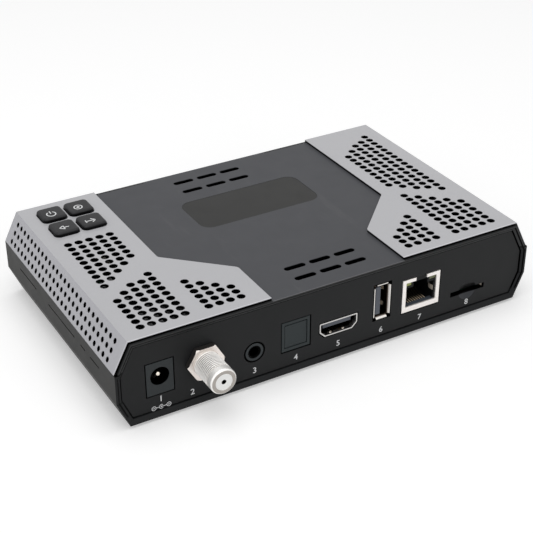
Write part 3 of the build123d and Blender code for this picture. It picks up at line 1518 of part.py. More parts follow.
with BuildPart() as heatsink:
    with BuildSketch(level(board_top + processor_height)):
        with Locations(processor_centre):
            Rectangle(heatsink_size, heatsink_size)
    extrude(amount=heatsink_base)
    with BuildSketch(level(board_top + processor_height + heatsink_base)):
        with Locations(processor_centre):
            with GridLocations((heatsink_size - fin_thickness) / (fin_count - 1), 1, fin_count, 1):
                Rectangle(fin_thickness, heatsink_size)
    extrude(amount=heatsink_height - heatsink_base)
heatsink.part.label = "heatsink"
export_step(heatsink.part, "parts/heatsink.step")

with BuildPart() as memory_chips:
    with BuildSketch(level(board_top)):
        with Locations(*memory_centres):
            Rectangle(memory_width, memory_length)
    extrude(amount=memory_height)
memory_chips.part.label = "memory_chips"
export_step(memory_chips.part, "parts/memory_chips.step")

with BuildPart() as capacitors:
    with BuildSketch(level(board_top)):
        with Locations(*capacitor_places):
            Circle(capacitor_diameter / 2)
    extrude(amount=capacitor_height)
    fillet(capacitors.edges().group_by(Axis.Z)[-1], capacitor_edge)
capacitors.part.label = "capacitors"
export_step(capacitors.part, "parts/capacitors.step")

with BuildPart() as inductors:
    with BuildSketch(level(board_top)):
        with Locations(*inductor_centres):
            RectangleRounded(inductor_size, inductor_size, inductor_rounding)
    extrude(amount=inductor_height)
inductors.part.label = "inductors"
export_step(inductors.part, "parts/inductors.step")

# --- Sockets for the cables of the key board and the front board ---
with BuildPart() as cable_sockets:
    with BuildSketch(level(board_top)):
        with Locations(front_socket_centre):
            Rectangle(front_socket_width, socket_length)
        with Locations(key_socket_centre):
            Rectangle(socket_length, key_socket_width)
    extrude(amount=socket_height)
    with BuildSketch(level(button_board_under - socket_height)):
        with Locations((key_centre[0] - button_board_width / 2 + socket_length, key_socket_centre[1])):
            Rectangle(socket_length, key_socket_width)
    extrude(amount=socket_height)
    with BuildSketch(behind(front_board_back_y + socket_height)):
        with Locations((front_socket_centre[0], board_top + socket_length / 2)):
            Rectangle(front_socket_width, socket_length)
    extrude(amount=socket_height)
cable_sockets.part.label = "cable_sockets"
export_step(cable_sockets.part, "parts/cable_sockets.step")
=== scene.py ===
import logging
import math
from collections.abc import Sequence
from dataclasses import dataclass
from enum import Enum
from typing import Any, ClassVar

import bmesh
import bpy
from mathutils import Matrix, Vector


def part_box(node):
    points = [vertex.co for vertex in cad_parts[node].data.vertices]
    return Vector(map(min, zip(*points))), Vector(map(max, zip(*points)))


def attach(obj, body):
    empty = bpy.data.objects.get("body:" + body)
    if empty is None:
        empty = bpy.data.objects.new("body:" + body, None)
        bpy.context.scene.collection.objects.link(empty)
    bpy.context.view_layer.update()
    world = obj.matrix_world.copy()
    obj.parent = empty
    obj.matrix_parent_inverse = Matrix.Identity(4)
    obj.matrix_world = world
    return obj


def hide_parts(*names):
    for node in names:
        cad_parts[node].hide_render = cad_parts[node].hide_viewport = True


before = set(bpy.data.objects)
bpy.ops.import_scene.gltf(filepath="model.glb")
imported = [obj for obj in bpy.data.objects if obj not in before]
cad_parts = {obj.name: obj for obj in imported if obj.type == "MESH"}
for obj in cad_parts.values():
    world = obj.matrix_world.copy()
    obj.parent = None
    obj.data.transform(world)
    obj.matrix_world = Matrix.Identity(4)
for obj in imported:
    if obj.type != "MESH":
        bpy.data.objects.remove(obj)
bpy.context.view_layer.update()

log = logging.getLogger("receiver")

MM = 0.001
Point2 = tuple[float, float]
Point3 = tuple[float, float, float]
Colour = tuple[float, float, float]


# --- Colours ---


def shade(red: int, green: int, blue: int) -> Colour:
    """Turns a colour as it looks on a screen into the linear colour that a shader takes.

    Args:
        red: Screen red, 0 to 255.
        green: Screen green, 0 to 255.
        blue: Screen blue, 0 to 255.

    Returns:
        The linear red, green and blue.
    """
    linear = []
    for level in (red, green, blue):
        part = level / 255
        linear.append(part / 12.92 if part <= 0.04045 else ((part + 0.055) / 1.055) ** 2.4)
    return (linear[0], linear[1], linear[2])


# --- Places in the frame ---


def middle_of(node: str) -> Point3:
    """The middle of a CAD node's box at rest, in millimetres."""
    low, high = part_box(node)
    return tuple((first + second) / 2 / MM for first, second in zip(low, high))


def size_of(node: str) -> Point3:
    """The size of a CAD node's box at rest, in millimetres."""
    low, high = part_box(node)
    return tuple((second - first) / MM for first, second in zip(low, high))


def front_of(node: str) -> float:
    """How far to the rear a CAD node reaches, in millimetres."""
    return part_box(node)[1][1] / MM


# --- Shader arithmetic ---


class Kind(Enum):
    """What a shader socket carries."""

    VALUE = "value"
    VECTOR = "vector"
    COLOUR = "colour"


class Wire:
    """A shader socket that takes part in arithmetic."""

    def __init__(self, graph: "Graph", socket: bpy.types.NodeSocket, kind: Kind = Kind.VALUE) -> None:
        """Wraps a socket.

        Args:
            graph: The graph that the socket belongs to.
            socket: An output socket.
            kind: What the socket carries.
        """
        self.graph = graph
        self.socket = socket
        self.kind = kind

    def _join(self, operation: str, first: Any, second: Any = None) -> "Wire":
        """Adds the node of one operation on this wire's graph.

        Args:
            operation: The operation's name in Math, Vector Math or Mix.
            first: Left operand, a wire, a number or a triple.
            second: Right operand, or None where the operation has one operand.

        Returns:
            The wire that carries the result.
        """
        operands = [first] if second is None else [first, second]
        kinds = {item.kind for item in operands if isinstance(item, Wire)}
        settings, inputs = {"operation": operation}, dict(enumerate(operands))
        if Kind.COLOUR in kinds:
            return self.graph.mix(1.0, first, second, operation)
        if Kind.VECTOR in kinds or any(isinstance(item, tuple) for item in operands):
            node = self.graph.node("ShaderNodeVectorMath", settings, inputs)
            return Wire(self.graph, node.outputs[0], Kind.VECTOR)
        return Wire(self.graph, self.graph.node("ShaderNodeMath", settings, inputs).outputs[0])

    def __add__(self, other: Any) -> "Wire":
        """Adds."""
        return self._join("ADD", self, other)

    def __radd__(self, other: Any) -> "Wire":
        """Adds, with this wire on the right."""
        return self._join("ADD", other, self)

    def __sub__(self, other: Any) -> "Wire":
        """Subtracts."""
        return self._join("SUBTRACT", self, other)

    def __rsub__(self, other: Any) -> "Wire":
        """Subtracts this wire from something."""
        return self._join("SUBTRACT", other, self)

    def __mul__(self, other: Any) -> "Wire":
        """Multiplies."""
        return self._join("MULTIPLY", self, other)

    def __rmul__(self, other: Any) -> "Wire":
        """Multiplies, with this wire on the right."""
        return self._join("MULTIPLY", other, self)

    def __abs__(self) -> "Wire":
        """Drops the sign."""
        return self._join("ABSOLUTE", self)

    def __pow__(self, other: Any) -> "Wire":
        """Raises to a power."""
        return self._join("POWER", self, other)

    def least(self, other: Any) -> "Wire":
        """The smaller of two values."""
        return self._join("MINIMUM", self, other)

    def most(self, other: Any) -> "Wire":
        """The larger of two values."""
        return self._join("MAXIMUM", self, other)

    def wrap(self, period: float) -> "Wire":
        """The distance past the last whole period."""
        return self._join("FLOORED_MODULO", self, period)

    def split(self) -> tuple["Wire", "Wire", "Wire"]:
        """The three parts of a vector."""
        node = self.graph.node("ShaderNodeSeparateXYZ", {}, {0: self})
        return tuple(Wire(self.graph, output) for output in node.outputs)

    def rise(self, low: float, high: float) -> "Wire":
        """A smooth step from 0 at low to 1 at high.

        Args:
            low: Where the step starts.
            high: Where the step ends, which may lie below low for a falling step.

        Returns:
            A value from 0 to 1.
        """
        turned = high < low
        start, end = (high, low) if turned else (low, high)
        node = self.graph.node(
            "ShaderNodeMapRange",
            {"interpolation_type": "SMOOTHSTEP"},
            {"Value": self, "From Min": start, "From Max": end},
        )
        step = Wire(self.graph, node.outputs["Result"])
        return 1.0 - step if turned else step

    def within(self, middle: float, half: float, soft: float) -> "Wire":
        """1 within a band and 0 outside it, with soft borders.

        Args:
            middle: The band's middle.
            half: Half the band's width.
            soft: The width of each border.

        Returns:
            A value from 0 to 1.
        """
        return abs(self - middle).rise(half + soft, half)


class Graph:
    """The node graph of one material or world, with positions in millimetres."""

    def __init__(self, owner: bpy.types.Material | bpy.types.World) -> None:
        """Starts an empty graph.

        Args:
            owner: The material or world that it belongs to.
        """
        owner.use_nodes = True
        self.tree = owner.node_tree
        self.tree.nodes.clear()
        coordinates = self.node("ShaderNodeTexCoord")
        self.place = Wire(self, coordinates.outputs["Object"], Kind.VECTOR) * (1 / MM, 1 / MM, 1 / MM)
        self.normal = Wire(self, coordinates.outputs["Normal"], Kind.VECTOR)

    def node(
        self, kind: str, settings: dict[str, Any] | None = None, inputs: dict[int | str, Any] | None = None
    ) -> bpy.types.Node:
        """Adds a node, sets it up and feeds its sockets.

        Args:
            kind: The node's type.
            settings: The node's own settings.
            inputs: Values or wires for its sockets, by name or number.

        Returns:
            The node.
        """
        node = self.tree.nodes.new(kind)
        for name, value in (settings or {}).items():
            setattr(node, name, value)
        for name, value in (inputs or {}).items():
            self.feed(node.inputs[name], value)
        return node

    def feed(self, socket: bpy.types.NodeSocket, value: Any) -> None:
        """Links a wire to a socket, or sets the socket's own value.

        Args:
            socket: An input socket.
            value: A wire, a number, a triple or a colour.
        """
        if isinstance(value, Wire):
            self.tree.links.new(value.socket, socket)
        elif hasattr(socket.default_value, "__len__"):
            parts = value if isinstance(value, tuple) else (value,) * 3
            socket.default_value = (*parts, 1.0) if len(socket.default_value) == 4 else parts
        else:
            socket.default_value = value

    def mix(self, share: Any, first: Any, second: Any, blend: str = "MIX") -> Wire:
        """Blends two colours.

        Args:
            share: How much of the second, from 0 to 1.
            first: A wire or a colour.
            second: A wire or a colour.
            blend: The blend's name.

        Returns:
            The blended colour.
        """
        settings = {"data_type": "RGBA", "blend_type": blend}
        node = self.node("ShaderNodeMix", settings, {0: share, 6: first, 7: second})
        return Wire(self, node.outputs[2], Kind.COLOUR)

    def noise(self, size: float, detail: float = 2.0, stretch: Point3 = (1.0, 1.0, 1.0)) -> Wire:
        """Soft random variation round 0.5.

        Args:
            size: The size of a patch in millimetres.
            detail: How much fine variation is added.
            stretch: How much the pattern is pulled out along each axis.

        Returns:
            A value from 0 to 1.
        """
        scaled = self.place * tuple(1.0 / (size * pull) for pull in stretch)
        node = self.node("ShaderNodeTexNoise", {}, {"Vector": scaled, "Scale": 1.0, "Detail": detail})
        return Wire(self, node.outputs[0])

    def cells(self, size: float) -> Wire:
        """Distance to the nearest of many scattered points.

        Args:
            size: The spacing of the points in millimetres.

        Returns:
            The distance, about 0 to 1.
        """
        scaled = self.place * (1.0 / size, 1.0 / size, 1.0 / size)
        node = self.node("ShaderNodeTexVoronoi", {"feature": "F1"}, {"Vector": scaled, "Scale": 1.0})
        return Wire(self, node.outputs["Distance"])

    def radius(self, node: str) -> Wire:
        """Distance to the axis that runs through a CAD node's middle towards the rear.

        Args:
            node: The node's name.

        Returns:
            The distance in millimetres.
        """
        across, _, up = self.place.split()
        middle = middle_of(node)
        side, rise = across - middle[0], up - middle[2]
        return (side * side + rise * rise) ** 0.5

    def seen(self) -> Wire:
        """Whether a ray looks at the surface, straight on, in a mirror image or through glass.

        Returns:
            1 for such a ray, and 0 for one that only lights another surface.
        """
        path = self.node("ShaderNodeLightPath")
        rays = [Wire(self, path.outputs[f"Is {ray} Ray"]) for ray in ("Camera", "Glossy", "Transmission")]
        return rays[0].most(rays[1]).most(rays[2])

    def show(self, shader: bpy.types.Node, output: str = "ShaderNodeOutputMaterial") -> None:
        """Leads a shader to the graph's output, a new node of that type."""
        self.tree.links.new(shader.outputs[0], self.node(output).inputs["Surface"])


# --- Finishes ---

# The near-black colour that painted shade turns a surface into.
SHADE_BLACK: Colour = (0.0015, 0.0015, 0.0015)


@dataclass(frozen=True)
class Finish:
    """A finish with a plain colour, broad tone changes and fine grain; others build on it."""

    colour: Colour
    roughness: float = 0.5
    metallic: float = 0.0
    specular: float = 0.5
    coat: float = 0.0
    coat_roughness: float = 0.08
    tone_depth: float = 0.06
    tone_size: float = 18.0
    tone_shares: Point2 = (1.4, 0.6)  # of the broad and the fine tone changes
    gloss_swing: float = 0.12
    grain: float = 0.006  # millimetres of height
    grain_size: float = 0.3
    edge: float = 0.12  # millimetres of rounding along edges

    def tint(self, graph: Graph) -> Wire:
        """The colour over the surface.

        Args:
            graph: The material's graph.

        Returns:
            A colour wire.
        """
        broad = graph.noise(self.tone_size, 3.0)
        fine = graph.noise(self.grain_size * 2.0, 1.0)
        broad_share, fine_share = self.tone_shares
        level = 1.0 - self.tone_depth + self.tone_depth * (broad * broad_share + fine * fine_share)
        return graph.mix(1.0, self.colour, level, "MULTIPLY")

    def gloss(self, graph: Graph) -> Wire:
        """The roughness over the surface."""
        swing = self.gloss_swing
        return self.roughness - swing / 2 + swing * graph.noise(self.tone_size * 0.4, 3.0)

    def relief(self, graph: Graph) -> Wire:
        """The height over the surface, in millimetres."""
        return self.grain * graph.noise(self.grain_size, 2.0)

    def dark(self, graph: Graph) -> Wire | None:
        """Where the surface lies in permanent shade, from 0 to 1, or None where nothing does."""
        return None

    def make(self, name: str) -> bpy.types.Material:
        """Builds the material.

        Args:
            name: The material's name.

        Returns:
            The material, ready to be assigned.
        """
        material = bpy.data.materials.new(name)
        graph = Graph(material)
        tint, metallic_with_shade, dark = self.tint(graph), self.metallic, self.dark(graph)
        # Painted shade: where dark() is 1 the colour is painted near black and the surface made fully
        # metallic, so that it shows no diffuse light.
        if dark is not None:
            tint, metallic_with_shade = graph.mix(dark, tint, SHADE_BLACK), dark.most(self.metallic)
        edges = graph.node("ShaderNodeBevel", {"samples": 4}, {"Radius": self.edge * MM})
        rounded = Wire(graph, edges.outputs[0])
        heights = {"Height": self.relief(graph), "Distance": MM, "Strength": 1.0, "Normal": rounded}
        bump = graph.node("ShaderNodeBump", {}, heights)
        inputs = {
            "Base Color": tint,
            "Roughness": self.gloss(graph),
            "Metallic": metallic_with_shade,
            "Specular IOR Level": self.specular,
            "Coat Weight": self.coat,
            "Coat Roughness": self.coat_roughness,
            "Normal": Wire(graph, bump.outputs[0]),
        }
        graph.show(graph.node("ShaderNodeBsdfPrincipled", {}, inputs))
        return material


@dataclass(frozen=True)
class CaseShape:
    """The outer faces of the case's octagon, in millimetres, for masks over its shells."""

    half_width: float = 83.0
    shoulder: float = 21.2
    skirt: float = 10.0
    upper_lean: float = 5.5 / 10.8
    lower_lean: float = 0.43
    top: float = 32.0

    def depth(self, graph: Graph, inset: float) -> Wire:
        """How far a point lies under the outer surface.

        Args:
            graph: The material's graph.
            inset: How far the top and upper slopes are set in.

        Returns:
            The depth in millimetres.
        """
        across, _, up = graph.place.split()
        across = abs(across)
        side = self.half_width - across
        upper = (side - (up - self.shoulder) * self.upper_lean) * (1 / math.hypot(1, self.upper_lean)) - inset
        lower = (side - (self.skirt - up) * self.lower_lean) * (1 / math.hypot(1, self.lower_lean))
        return side.least(upper).least(lower).least(self.top - inset - up).least(up)


CASE = CaseShape()


@dataclass(frozen=True)
class ShellFinish(Finish):
    """Grained shell plastic with a darker smooth rim, a painted highlight on the lid's rear edge, and painted
    shade on its seams and inside.
    """

    rim: Colour = (0.02, 0.02, 0.02)
    # colour of the painted highlight along the lid's rear edge
    lip: Colour = (0.16, 0.16, 0.17)
    inset: float = 0.0
    rim_start: float = 48.5
    seam: float = 21.2
    seam_half: float = 0.2
    skirt_half: float = 0.12
    panel_line: Point2 = (49.1, 49.0)  # where painted shade starts on the rim's inner bevel towards the panel
    rim_fold: Point2 = (49.82, 0.11)  # place and half width of the painted dark line at the fold between the rim's face and its bevel
    panel_depth: float = 0.8
    floor_clear: float = 3.4
    gap_start: float = 47.4
    plate_turns: Point2 = (6.0, 26.0)  # where the plates' slanted inner edges start and end
    plate_reach: tuple[Point2, Point2] = ((46.5, 25.5), (47.5, 27.5))
    ledge_start: float = 49.05
    ledge_sides: Point2 = (25.45, -27.45)
    lip_line: Point2 = (49.9, 0.22)  # place and half width of the painted highlight along the lid's rear edge
    pocket: str = "label_window"
    pocket_room: float = 0.8
    skin: Point2 = (0.12, 0.3)  # depths between which the surface turns into the shaded inside
    streak: Colour = (0.16, 0.16, 0.16)
    streak_size: float = 6.0
    streak_pull: Point3 = (1.0, 6.0, 0.3)
    streak_depth: float = 0.10

    def ends(self, graph: Graph) -> Wire:
        """The rim's faces at both ends."""
        along, facing = abs(graph.place.split()[1]), abs(graph.normal.split()[1])
        return facing.rise(0.45, 0.65) * along.rise(self.rim_start, self.rim_start + 0.2)

    def low_gap(self, graph: Graph) -> Wire:
        """The shell's floor inside both rims, which light reaches.

        Args:
            graph: The material's graph.

        Returns:
            A value from 0 to 1.
        """
        _, along, up = graph.place.split()
        low = up.rise(self.floor_clear + 1.0, self.floor_clear)
        return low * abs(along).rise(self.gap_start, self.gap_start + 0.3)

    def ledge(self, graph: Graph) -> Wire:
        """The strip of the shell that shows past the plates' ends, in the colour of the rim.

        Args:
            graph: The material's graph.

        Returns:
            A value from 0 to 1.
        """
        across, along, up = graph.place.split()
        left, right = self.ledge_sides
        beside = across.rise(left - 0.1, left).most(across.rise(right + 0.1, right))
        past = abs(along).rise(self.ledge_start - 0.1, self.ledge_start)
        return beside * past * up.rise(self.seam, self.seam + 0.2)

    def tint(self, graph: Graph) -> Wire:
        """See Finish.tint."""
        _, along, _ = graph.place.split()
        _, _, rising = graph.normal.split()
        streaks = graph.noise(self.streak_size, 4.0, self.streak_pull).rise(0.62, 0.78)
        base = graph.mix(streaks * self.streak_depth, super().tint(graph), self.streak)
        # Painted highlight along the lid's rear edge, on faces that look up.
        place, half = self.lip_line
        base = graph.mix(along.within(place, half, 0.1) * rising.rise(0.3, 0.6) * 0.5, base, self.lip)
        deep = CASE.depth(graph, self.inset).rise(*self.skin)
        painted = self.ends(graph).most(self.ledge(graph)).most(self.low_gap(graph) * deep)
        return graph.mix(painted, base, self.rim)

    def dark(self, graph: Graph) -> Wire:
        """See Finish.dark."""
        # Painted shade: a dark line where the rim meets the panel and at the rim's fold, black inside the
        # shell and under the plates, a darker band past the plates' ends, and dark lines at the skirt's
        # crease and the seam.
        across, along, up = graph.place.split()
        ends, depth = self.ends(graph), CASE.depth(graph, self.inset)
        middle, size, room = middle_of(self.pocket), size_of(self.pocket), self.pocket_room
        in_pocket = across.within(middle[0], size[0] / 2 + room, 0.1)
        in_pocket = in_pocket * along.within(middle[1], size[1] / 2 + room, 0.1)
        place, half = self.rim_fold
        line = along.rise(*self.panel_line) * depth.rise(self.panel_depth, self.panel_depth + 0.1) * 0.6
        line = line.most(along.within(place, half, 0.05) * depth.rise(0.1, 0.2))
        line = line * ends * up.rise(self.floor_clear, self.floor_clear + 1.0)
        hidden = depth.rise(*self.skin) * (1.0 - ends.most(in_pocket).most(self.low_gap(graph)))
        covered = self.under_plates(graph).most(self.ledge(graph) * 0.25) * (1.0 - ends)
        creases = up.within(CASE.skirt, self.skirt_half, 0.15) * 0.6
        return line.most(hidden).most(covered).most(creases).most(up.within(self.seam, self.seam_half, 0.1))

    def under_plates(self, graph: Graph) -> Wire:
        """Where the upper shell is covered by the silver plates.

        Args:
            graph: The material's graph.

        Returns:
            A value from 0 to 1.
        """
        across, along, up = graph.place.split()
        start, end = self.plate_turns
        covered: Wire | None = None
        for side, (front, rear) in zip((across, -1.0 * across), self.plate_reach):
            edge = (front - (along - start) * ((front - rear) / (end - start))).least(front).most(rear)
            reach = (side - edge).rise(0.1, 0.3)
            covered = reach if covered is None else covered.most(reach)
        covered = covered * abs(along).rise(self.ledge_start + 0.1, self.ledge_start)
        return covered * up.rise(self.seam + 0.05, self.seam + 0.25)


@dataclass(frozen=True)
class WingFinish(Finish):
    """Silver paint on the side plates, with painted shade on their walls, a violet-grey painted shade on
    their slopes, and a painted highlight along the rear edge.
    """

    flake: Colour = (0.62, 0.62, 0.66)
    flake_size: float = 0.35
    flake_depth: float = 0.10
    # colour of the painted shade, a little violet, on the slanted faces
    slope_tone: Colour = (0.40, 0.40, 0.46)
    slope_depth: float = 0.25
    # colour of the painted highlight along the plates' rear edge
    edge_tone: Colour = (0.62, 0.62, 0.65)
    rear_edge: float = 49.1
    edge_width: float = 0.45

    def tint(self, graph: Graph) -> Wire:
        """See Finish.tint."""
        base = super().tint(graph)
        flakes = graph.cells(self.flake_size).rise(0.05, 0.7)
        base = graph.mix((1.0 - flakes) * self.flake_depth, base, self.flake)
        _, along, _ = graph.place.split()
        leaning, _, _ = graph.normal.split()
        # Painted shade with a violet tint on faces that lean to the side.
        base = graph.mix(abs(leaning).rise(0.3, 0.6) * self.slope_depth, base, self.slope_tone)
        # Painted highlight along the plates' rear edge.
        edge = along.rise(self.rear_edge - self.edge_width - 0.1, self.rear_edge - self.edge_width)
        return graph.mix(edge, base, self.edge_tone)

    def dark(self, graph: Graph) -> Wire:
        """See Finish.dark."""
        return CASE.depth(graph, 0.0).rise(0.08, 0.17)


@dataclass(frozen=True)
class PanelFinish(Finish):
    """Fine-grained end panel with painted shade on its sides and in its openings, and a dished scoop at the
    card slot, painted lighter below the slot and dark above it.
    """

    face: float = 48.9
    slot: Point2 = (8.35, 10.4)  # levels of the card slot
    scoop_reach: Point2 = (-62.0, -52.6)
    scoop_slant: float = 0.6
    upper_reach: float = 0.9  # how far the shade goes above the slot
    # colour of the painted light on the scoop below the slot
    scoop_tone: Colour = (0.036, 0.038, 0.043)

    def dish(self, graph: Graph) -> tuple[Wire, Wire]:
        """The scoop's parts below and above the slot.

        Args:
            graph: The material's graph.

        Returns:
            Two values from 0 to 1.
        """
        across, along, up = graph.place.split()
        _, facing, _ = graph.normal.split()
        low, high = self.scoop_reach
        bottom, top = self.slot
        inside = (self.face - along).rise(0.03, 0.12) * facing.rise(0.2, 0.4)
        inside = inside * across.rise(low - 1.0, low) * across.rise(high + 1.0, high)
        above = up.rise(top - 0.1, top) * up.rise(top + self.upper_reach + 0.4, top + self.upper_reach)
        return inside * up.rise(bottom + 0.05, bottom), inside * above

    def tint(self, graph: Graph) -> Wire:
        """See Finish.tint."""
        # Painted light on the scoop below the slot.
        return graph.mix(self.dish(graph)[0], super().tint(graph), self.scoop_tone)

    def dark(self, graph: Graph) -> Wire:
        """See Finish.dark."""
        _, along, up = graph.place.split()
        _, facing, _ = graph.normal.split()
        # Painted shade on hidden sides and openings, along the slot's lower edge in the scoop, and in an arc
        # above the slot.
        hidden = abs(along).rise(self.face - 0.08, self.face - 0.3) * abs(facing).rise(0.5, 0.3)
        lower, upper = self.dish(graph)
        bottom = self.slot[0]
        near = lower * (up + (self.face - along) * self.scoop_slant).rise(bottom - 0.08, bottom + 0.02)
        return hidden.most(near).most(upper * 0.9)


@dataclass(frozen=True)
class HollowFinish(Finish):
    """Moulded housing with painted shade behind its front face."""

    face: float = 48.9
    fade: float = 1.0

    def dark(self, graph: Graph) -> Wire:
        """See Finish.dark."""
        _, along, _ = graph.place.split()
        return along.rise(self.face - 0.05, self.face - self.fade)


@dataclass(frozen=True)
class FlapFinish(Finish):
    """The optical jack's flap, with a fine moulded line inside two of its edges."""

    middle: float = 15.8
    half: float = 3.7
    bottom: float = 10.5
    line: float = 0.07
    line_depth: float = 0.08

    def relief(self, graph: Graph) -> Wire:
        """See Finish.relief."""
        across, _, up = graph.place.split()
        side, rise = across - (self.middle - self.half), up - self.bottom
        upright = side.within(0.0, self.line, self.line) * rise.rise(-0.1, 0.0)
        level = rise.within(0.0, self.line, self.line) * side.rise(-0.1, 0.0)
        return super().relief(graph) - self.line_depth * upright.most(level)


class Lay(Enum):
    """How a metal surface was worked."""

    TURNED = "turned"
    ROLLED = "rolled"
    PLATED = "plated"
    CAST = "cast"


@dataclass(frozen=True)
class MetalFinish(Finish):
    """Bare or plated metal with the marks of its making."""

    metallic: float = 1.0
    lay: Lay = Lay.PLATED
    stain: Colour = (0.30, 0.27, 0.24)
    stain_size: float = 2.6
    stains: float = 0.10
    mouth: str | None = None  # the node whose rear end is the mouth from which the metal fades into shade
    fade: Point2 = (0.7, 2.7)
    shaded: Colour = (0.012, 0.012, 0.012)

    def tint(self, graph: Graph) -> Wire:
        """See Finish.tint."""
        spots = graph.noise(self.stain_size, 5.0).rise(0.55, 0.8)
        base = graph.mix(spots * self.stains, super().tint(graph), self.stain)
        if self.mouth is None:
            return base
        _, along, _ = graph.place.split()
        start, end = (front_of(self.mouth) - step for step in self.fade)
        return graph.mix(along.rise(start, end), base, self.shaded)

    def relief(self, graph: Graph) -> Wire:
        """See Finish.relief."""
        if self.lay is Lay.TURNED:
            return self.grain * graph.noise(0.22, 2.0, (40.0, 0.5, 40.0))
        if self.lay is Lay.ROLLED:
            return self.grain * graph.noise(0.12, 2.0, (1.0, 60.0, 1.0))
        if self.lay is Lay.CAST:
            return self.grain * graph.noise(0.5, 4.0)
        return super().relief(graph)


@dataclass(frozen=True)
class NutFinish(MetalFinish):
    """Nut metal with a painted dark reflection of the panel on its flanks."""

    flank: Colour = (0.02, 0.018, 0.017)
    flank_depth: float = 0.92

    def tint(self, graph: Graph) -> Wire:
        """See Finish.tint."""
        _, facing, _ = graph.normal.split()
        # Painted reflection: faces that do not look to the rear are painted dark.
        return graph.mix(facing.rise(0.45, 0.25) * self.flank_depth, super().tint(graph), self.flank)


@dataclass(frozen=True)
class ShieldFinish(MetalFinish):
    """Jack shield with painted shade on its sheet above its notch."""

    mouth: str = "network_jack_shield"
    notch: Point2 = (2.3, 20.9)  # half width and lowest level

    def tint(self, graph: Graph) -> Wire:
        """See Finish.tint."""
        across, _, up = graph.place.split()
        half, level = self.notch
        # Painted shade on the shield's sheet seen through the notch.
        notch_shade = across.within(middle_of(self.mouth)[0], half, 0.05) * up.rise(level, level + 0.1)
        return graph.mix(notch_shade, super().tint(graph), self.shaded)


@dataclass(frozen=True)
class RoundFinish(HollowFinish):
    """Round plastic part with painted shade in its mouth and along its outer border."""

    node: str = "av_jack_sleeve"
    mouth: float = 2.45
    border: float = 3.3

    def dark(self, graph: Graph) -> Wire:
        """See Finish.dark."""
        # Painted shade in the mouth, beyond the outer border and behind the front face.
        radius = graph.radius(self.node)
        mouth = radius.rise(self.mouth + 0.12, self.mouth - 0.05)
        return mouth.most(radius.rise(self.border, self.border + 0.12)).most(super().dark(graph))


@dataclass(frozen=True)
class KeyFinish(Finish):
    """Key plastic whose upright sides are in shade."""

    side_shade: float = 0.8

    def dark(self, graph: Graph) -> Wire:
        """See Finish.dark."""
        return graph.normal.split()[2].rise(0.7, 0.2) * self.side_shade


@dataclass(frozen=True)
class ThreadFinish(MetalFinish):
    """Turned metal with painted shade in its thread roots and on its rear face, which is darker and greyer.
    """

    dull_face: Colour = (0.42, 0.39, 0.36)
    groove: Colour = (0.05, 0.045, 0.04)
    node: str = "antenna_barrel"
    crest: float = 4.68
    root: float = 4.25
    collar: float = 59.0
    bore: float = 2.9

    def tint(self, graph: Graph) -> Wire:
        """See Finish.tint."""
        _, along, _ = graph.place.split()
        _, facing, _ = graph.normal.split()
        radius = graph.radius(self.node)
        # Painted shade: the collar's rear face is painted darker and greyer, and the thread roots dark.
        end_face = facing.rise(0.8, 0.95) * along.rise(self.collar, self.collar + 1.0)
        base = graph.mix(end_face, super().tint(graph), self.dull_face)
        outside_bore = radius.rise(self.bore + 0.3, self.bore + 0.4)
        groove = radius.rise(self.crest - 0.12, self.root + 0.06) * outside_bore
        return graph.mix(groove * along.rise(self.collar, self.collar - 0.2) * 0.8, base, self.groove)


@dataclass(frozen=True)
class InsertFinish(Finish):
    """Black jack insert whose cavity floor is a paler blue-grey at the front."""

    floor_level: float = 10.4
    floor_start: float = 46.5
    floor_tone: Colour = (0.08, 0.095, 0.115)

    def tint(self, graph: Graph) -> Wire:
        """See Finish.tint."""
        _, along, up = graph.place.split()
        near = up.within(self.floor_level, 0.05, 0.1) * along.rise(self.floor_start - 0.2, self.floor_start)
        return graph.mix(near, super().tint(graph), self.floor_tone)


@dataclass(frozen=True)
class BoardFinish(Finish):
    """Solder resist with tracks, pads and bare edges showing the glass fibre."""

    copper: Colour = (0.012, 0.07, 0.032)
    pad: Colour = (0.16, 0.16, 0.15)
    pitch: float = 1.6
    track_half: float = 0.16
    upright: bool = False

    def tracks(self, graph: Graph) -> Wire:
        """Where copper lies under the resist.

        Args:
            graph: The material's graph.

        Returns:
            A value from 0 to 1.
        """
        first, second, third = graph.place.split()
        along = third if self.upright else second
        turn = graph.noise(14.0, 0.0).rise(0.46, 0.54)
        lanes_one = first.wrap(self.pitch).within(self.pitch / 2, self.track_half, 0.05)
        lanes_two = along.wrap(self.pitch).within(self.pitch / 2, self.track_half, 0.05)
        gaps = graph.noise(5.0, 1.0).rise(0.42, 0.46)
        return (lanes_one * turn).most(lanes_two * (1.0 - turn)) * gaps

    def tint(self, graph: Graph) -> Wire:
        """See Finish.tint."""
        base = graph.mix(self.tracks(graph), super().tint(graph), self.copper)
        pads = graph.cells(2.4).rise(0.17, 0.13) * graph.noise(9.0, 1.0).rise(0.5, 0.56)
        return graph.mix(pads, base, self.pad)

    def relief(self, graph: Graph) -> Wire:
        """See Finish.relief."""
        return 0.02 * self.tracks(graph) + super().relief(graph)


@dataclass(frozen=True)
class LightPipeFinish(Finish):
    """The two indicator windows: a clear yellow-green one and a duller one."""

    node: str = "network_jack_lights"
    dull: Colour = (0.13, 0.14, 0.06)

    def tint(self, graph: Graph) -> Wire:
        """See Finish.tint."""
        middle = middle_of(self.node)[0]
        second = graph.place.split()[0].rise(middle + 0.1, middle - 0.1)
        return graph.mix(second, super().tint(graph), self.dull)


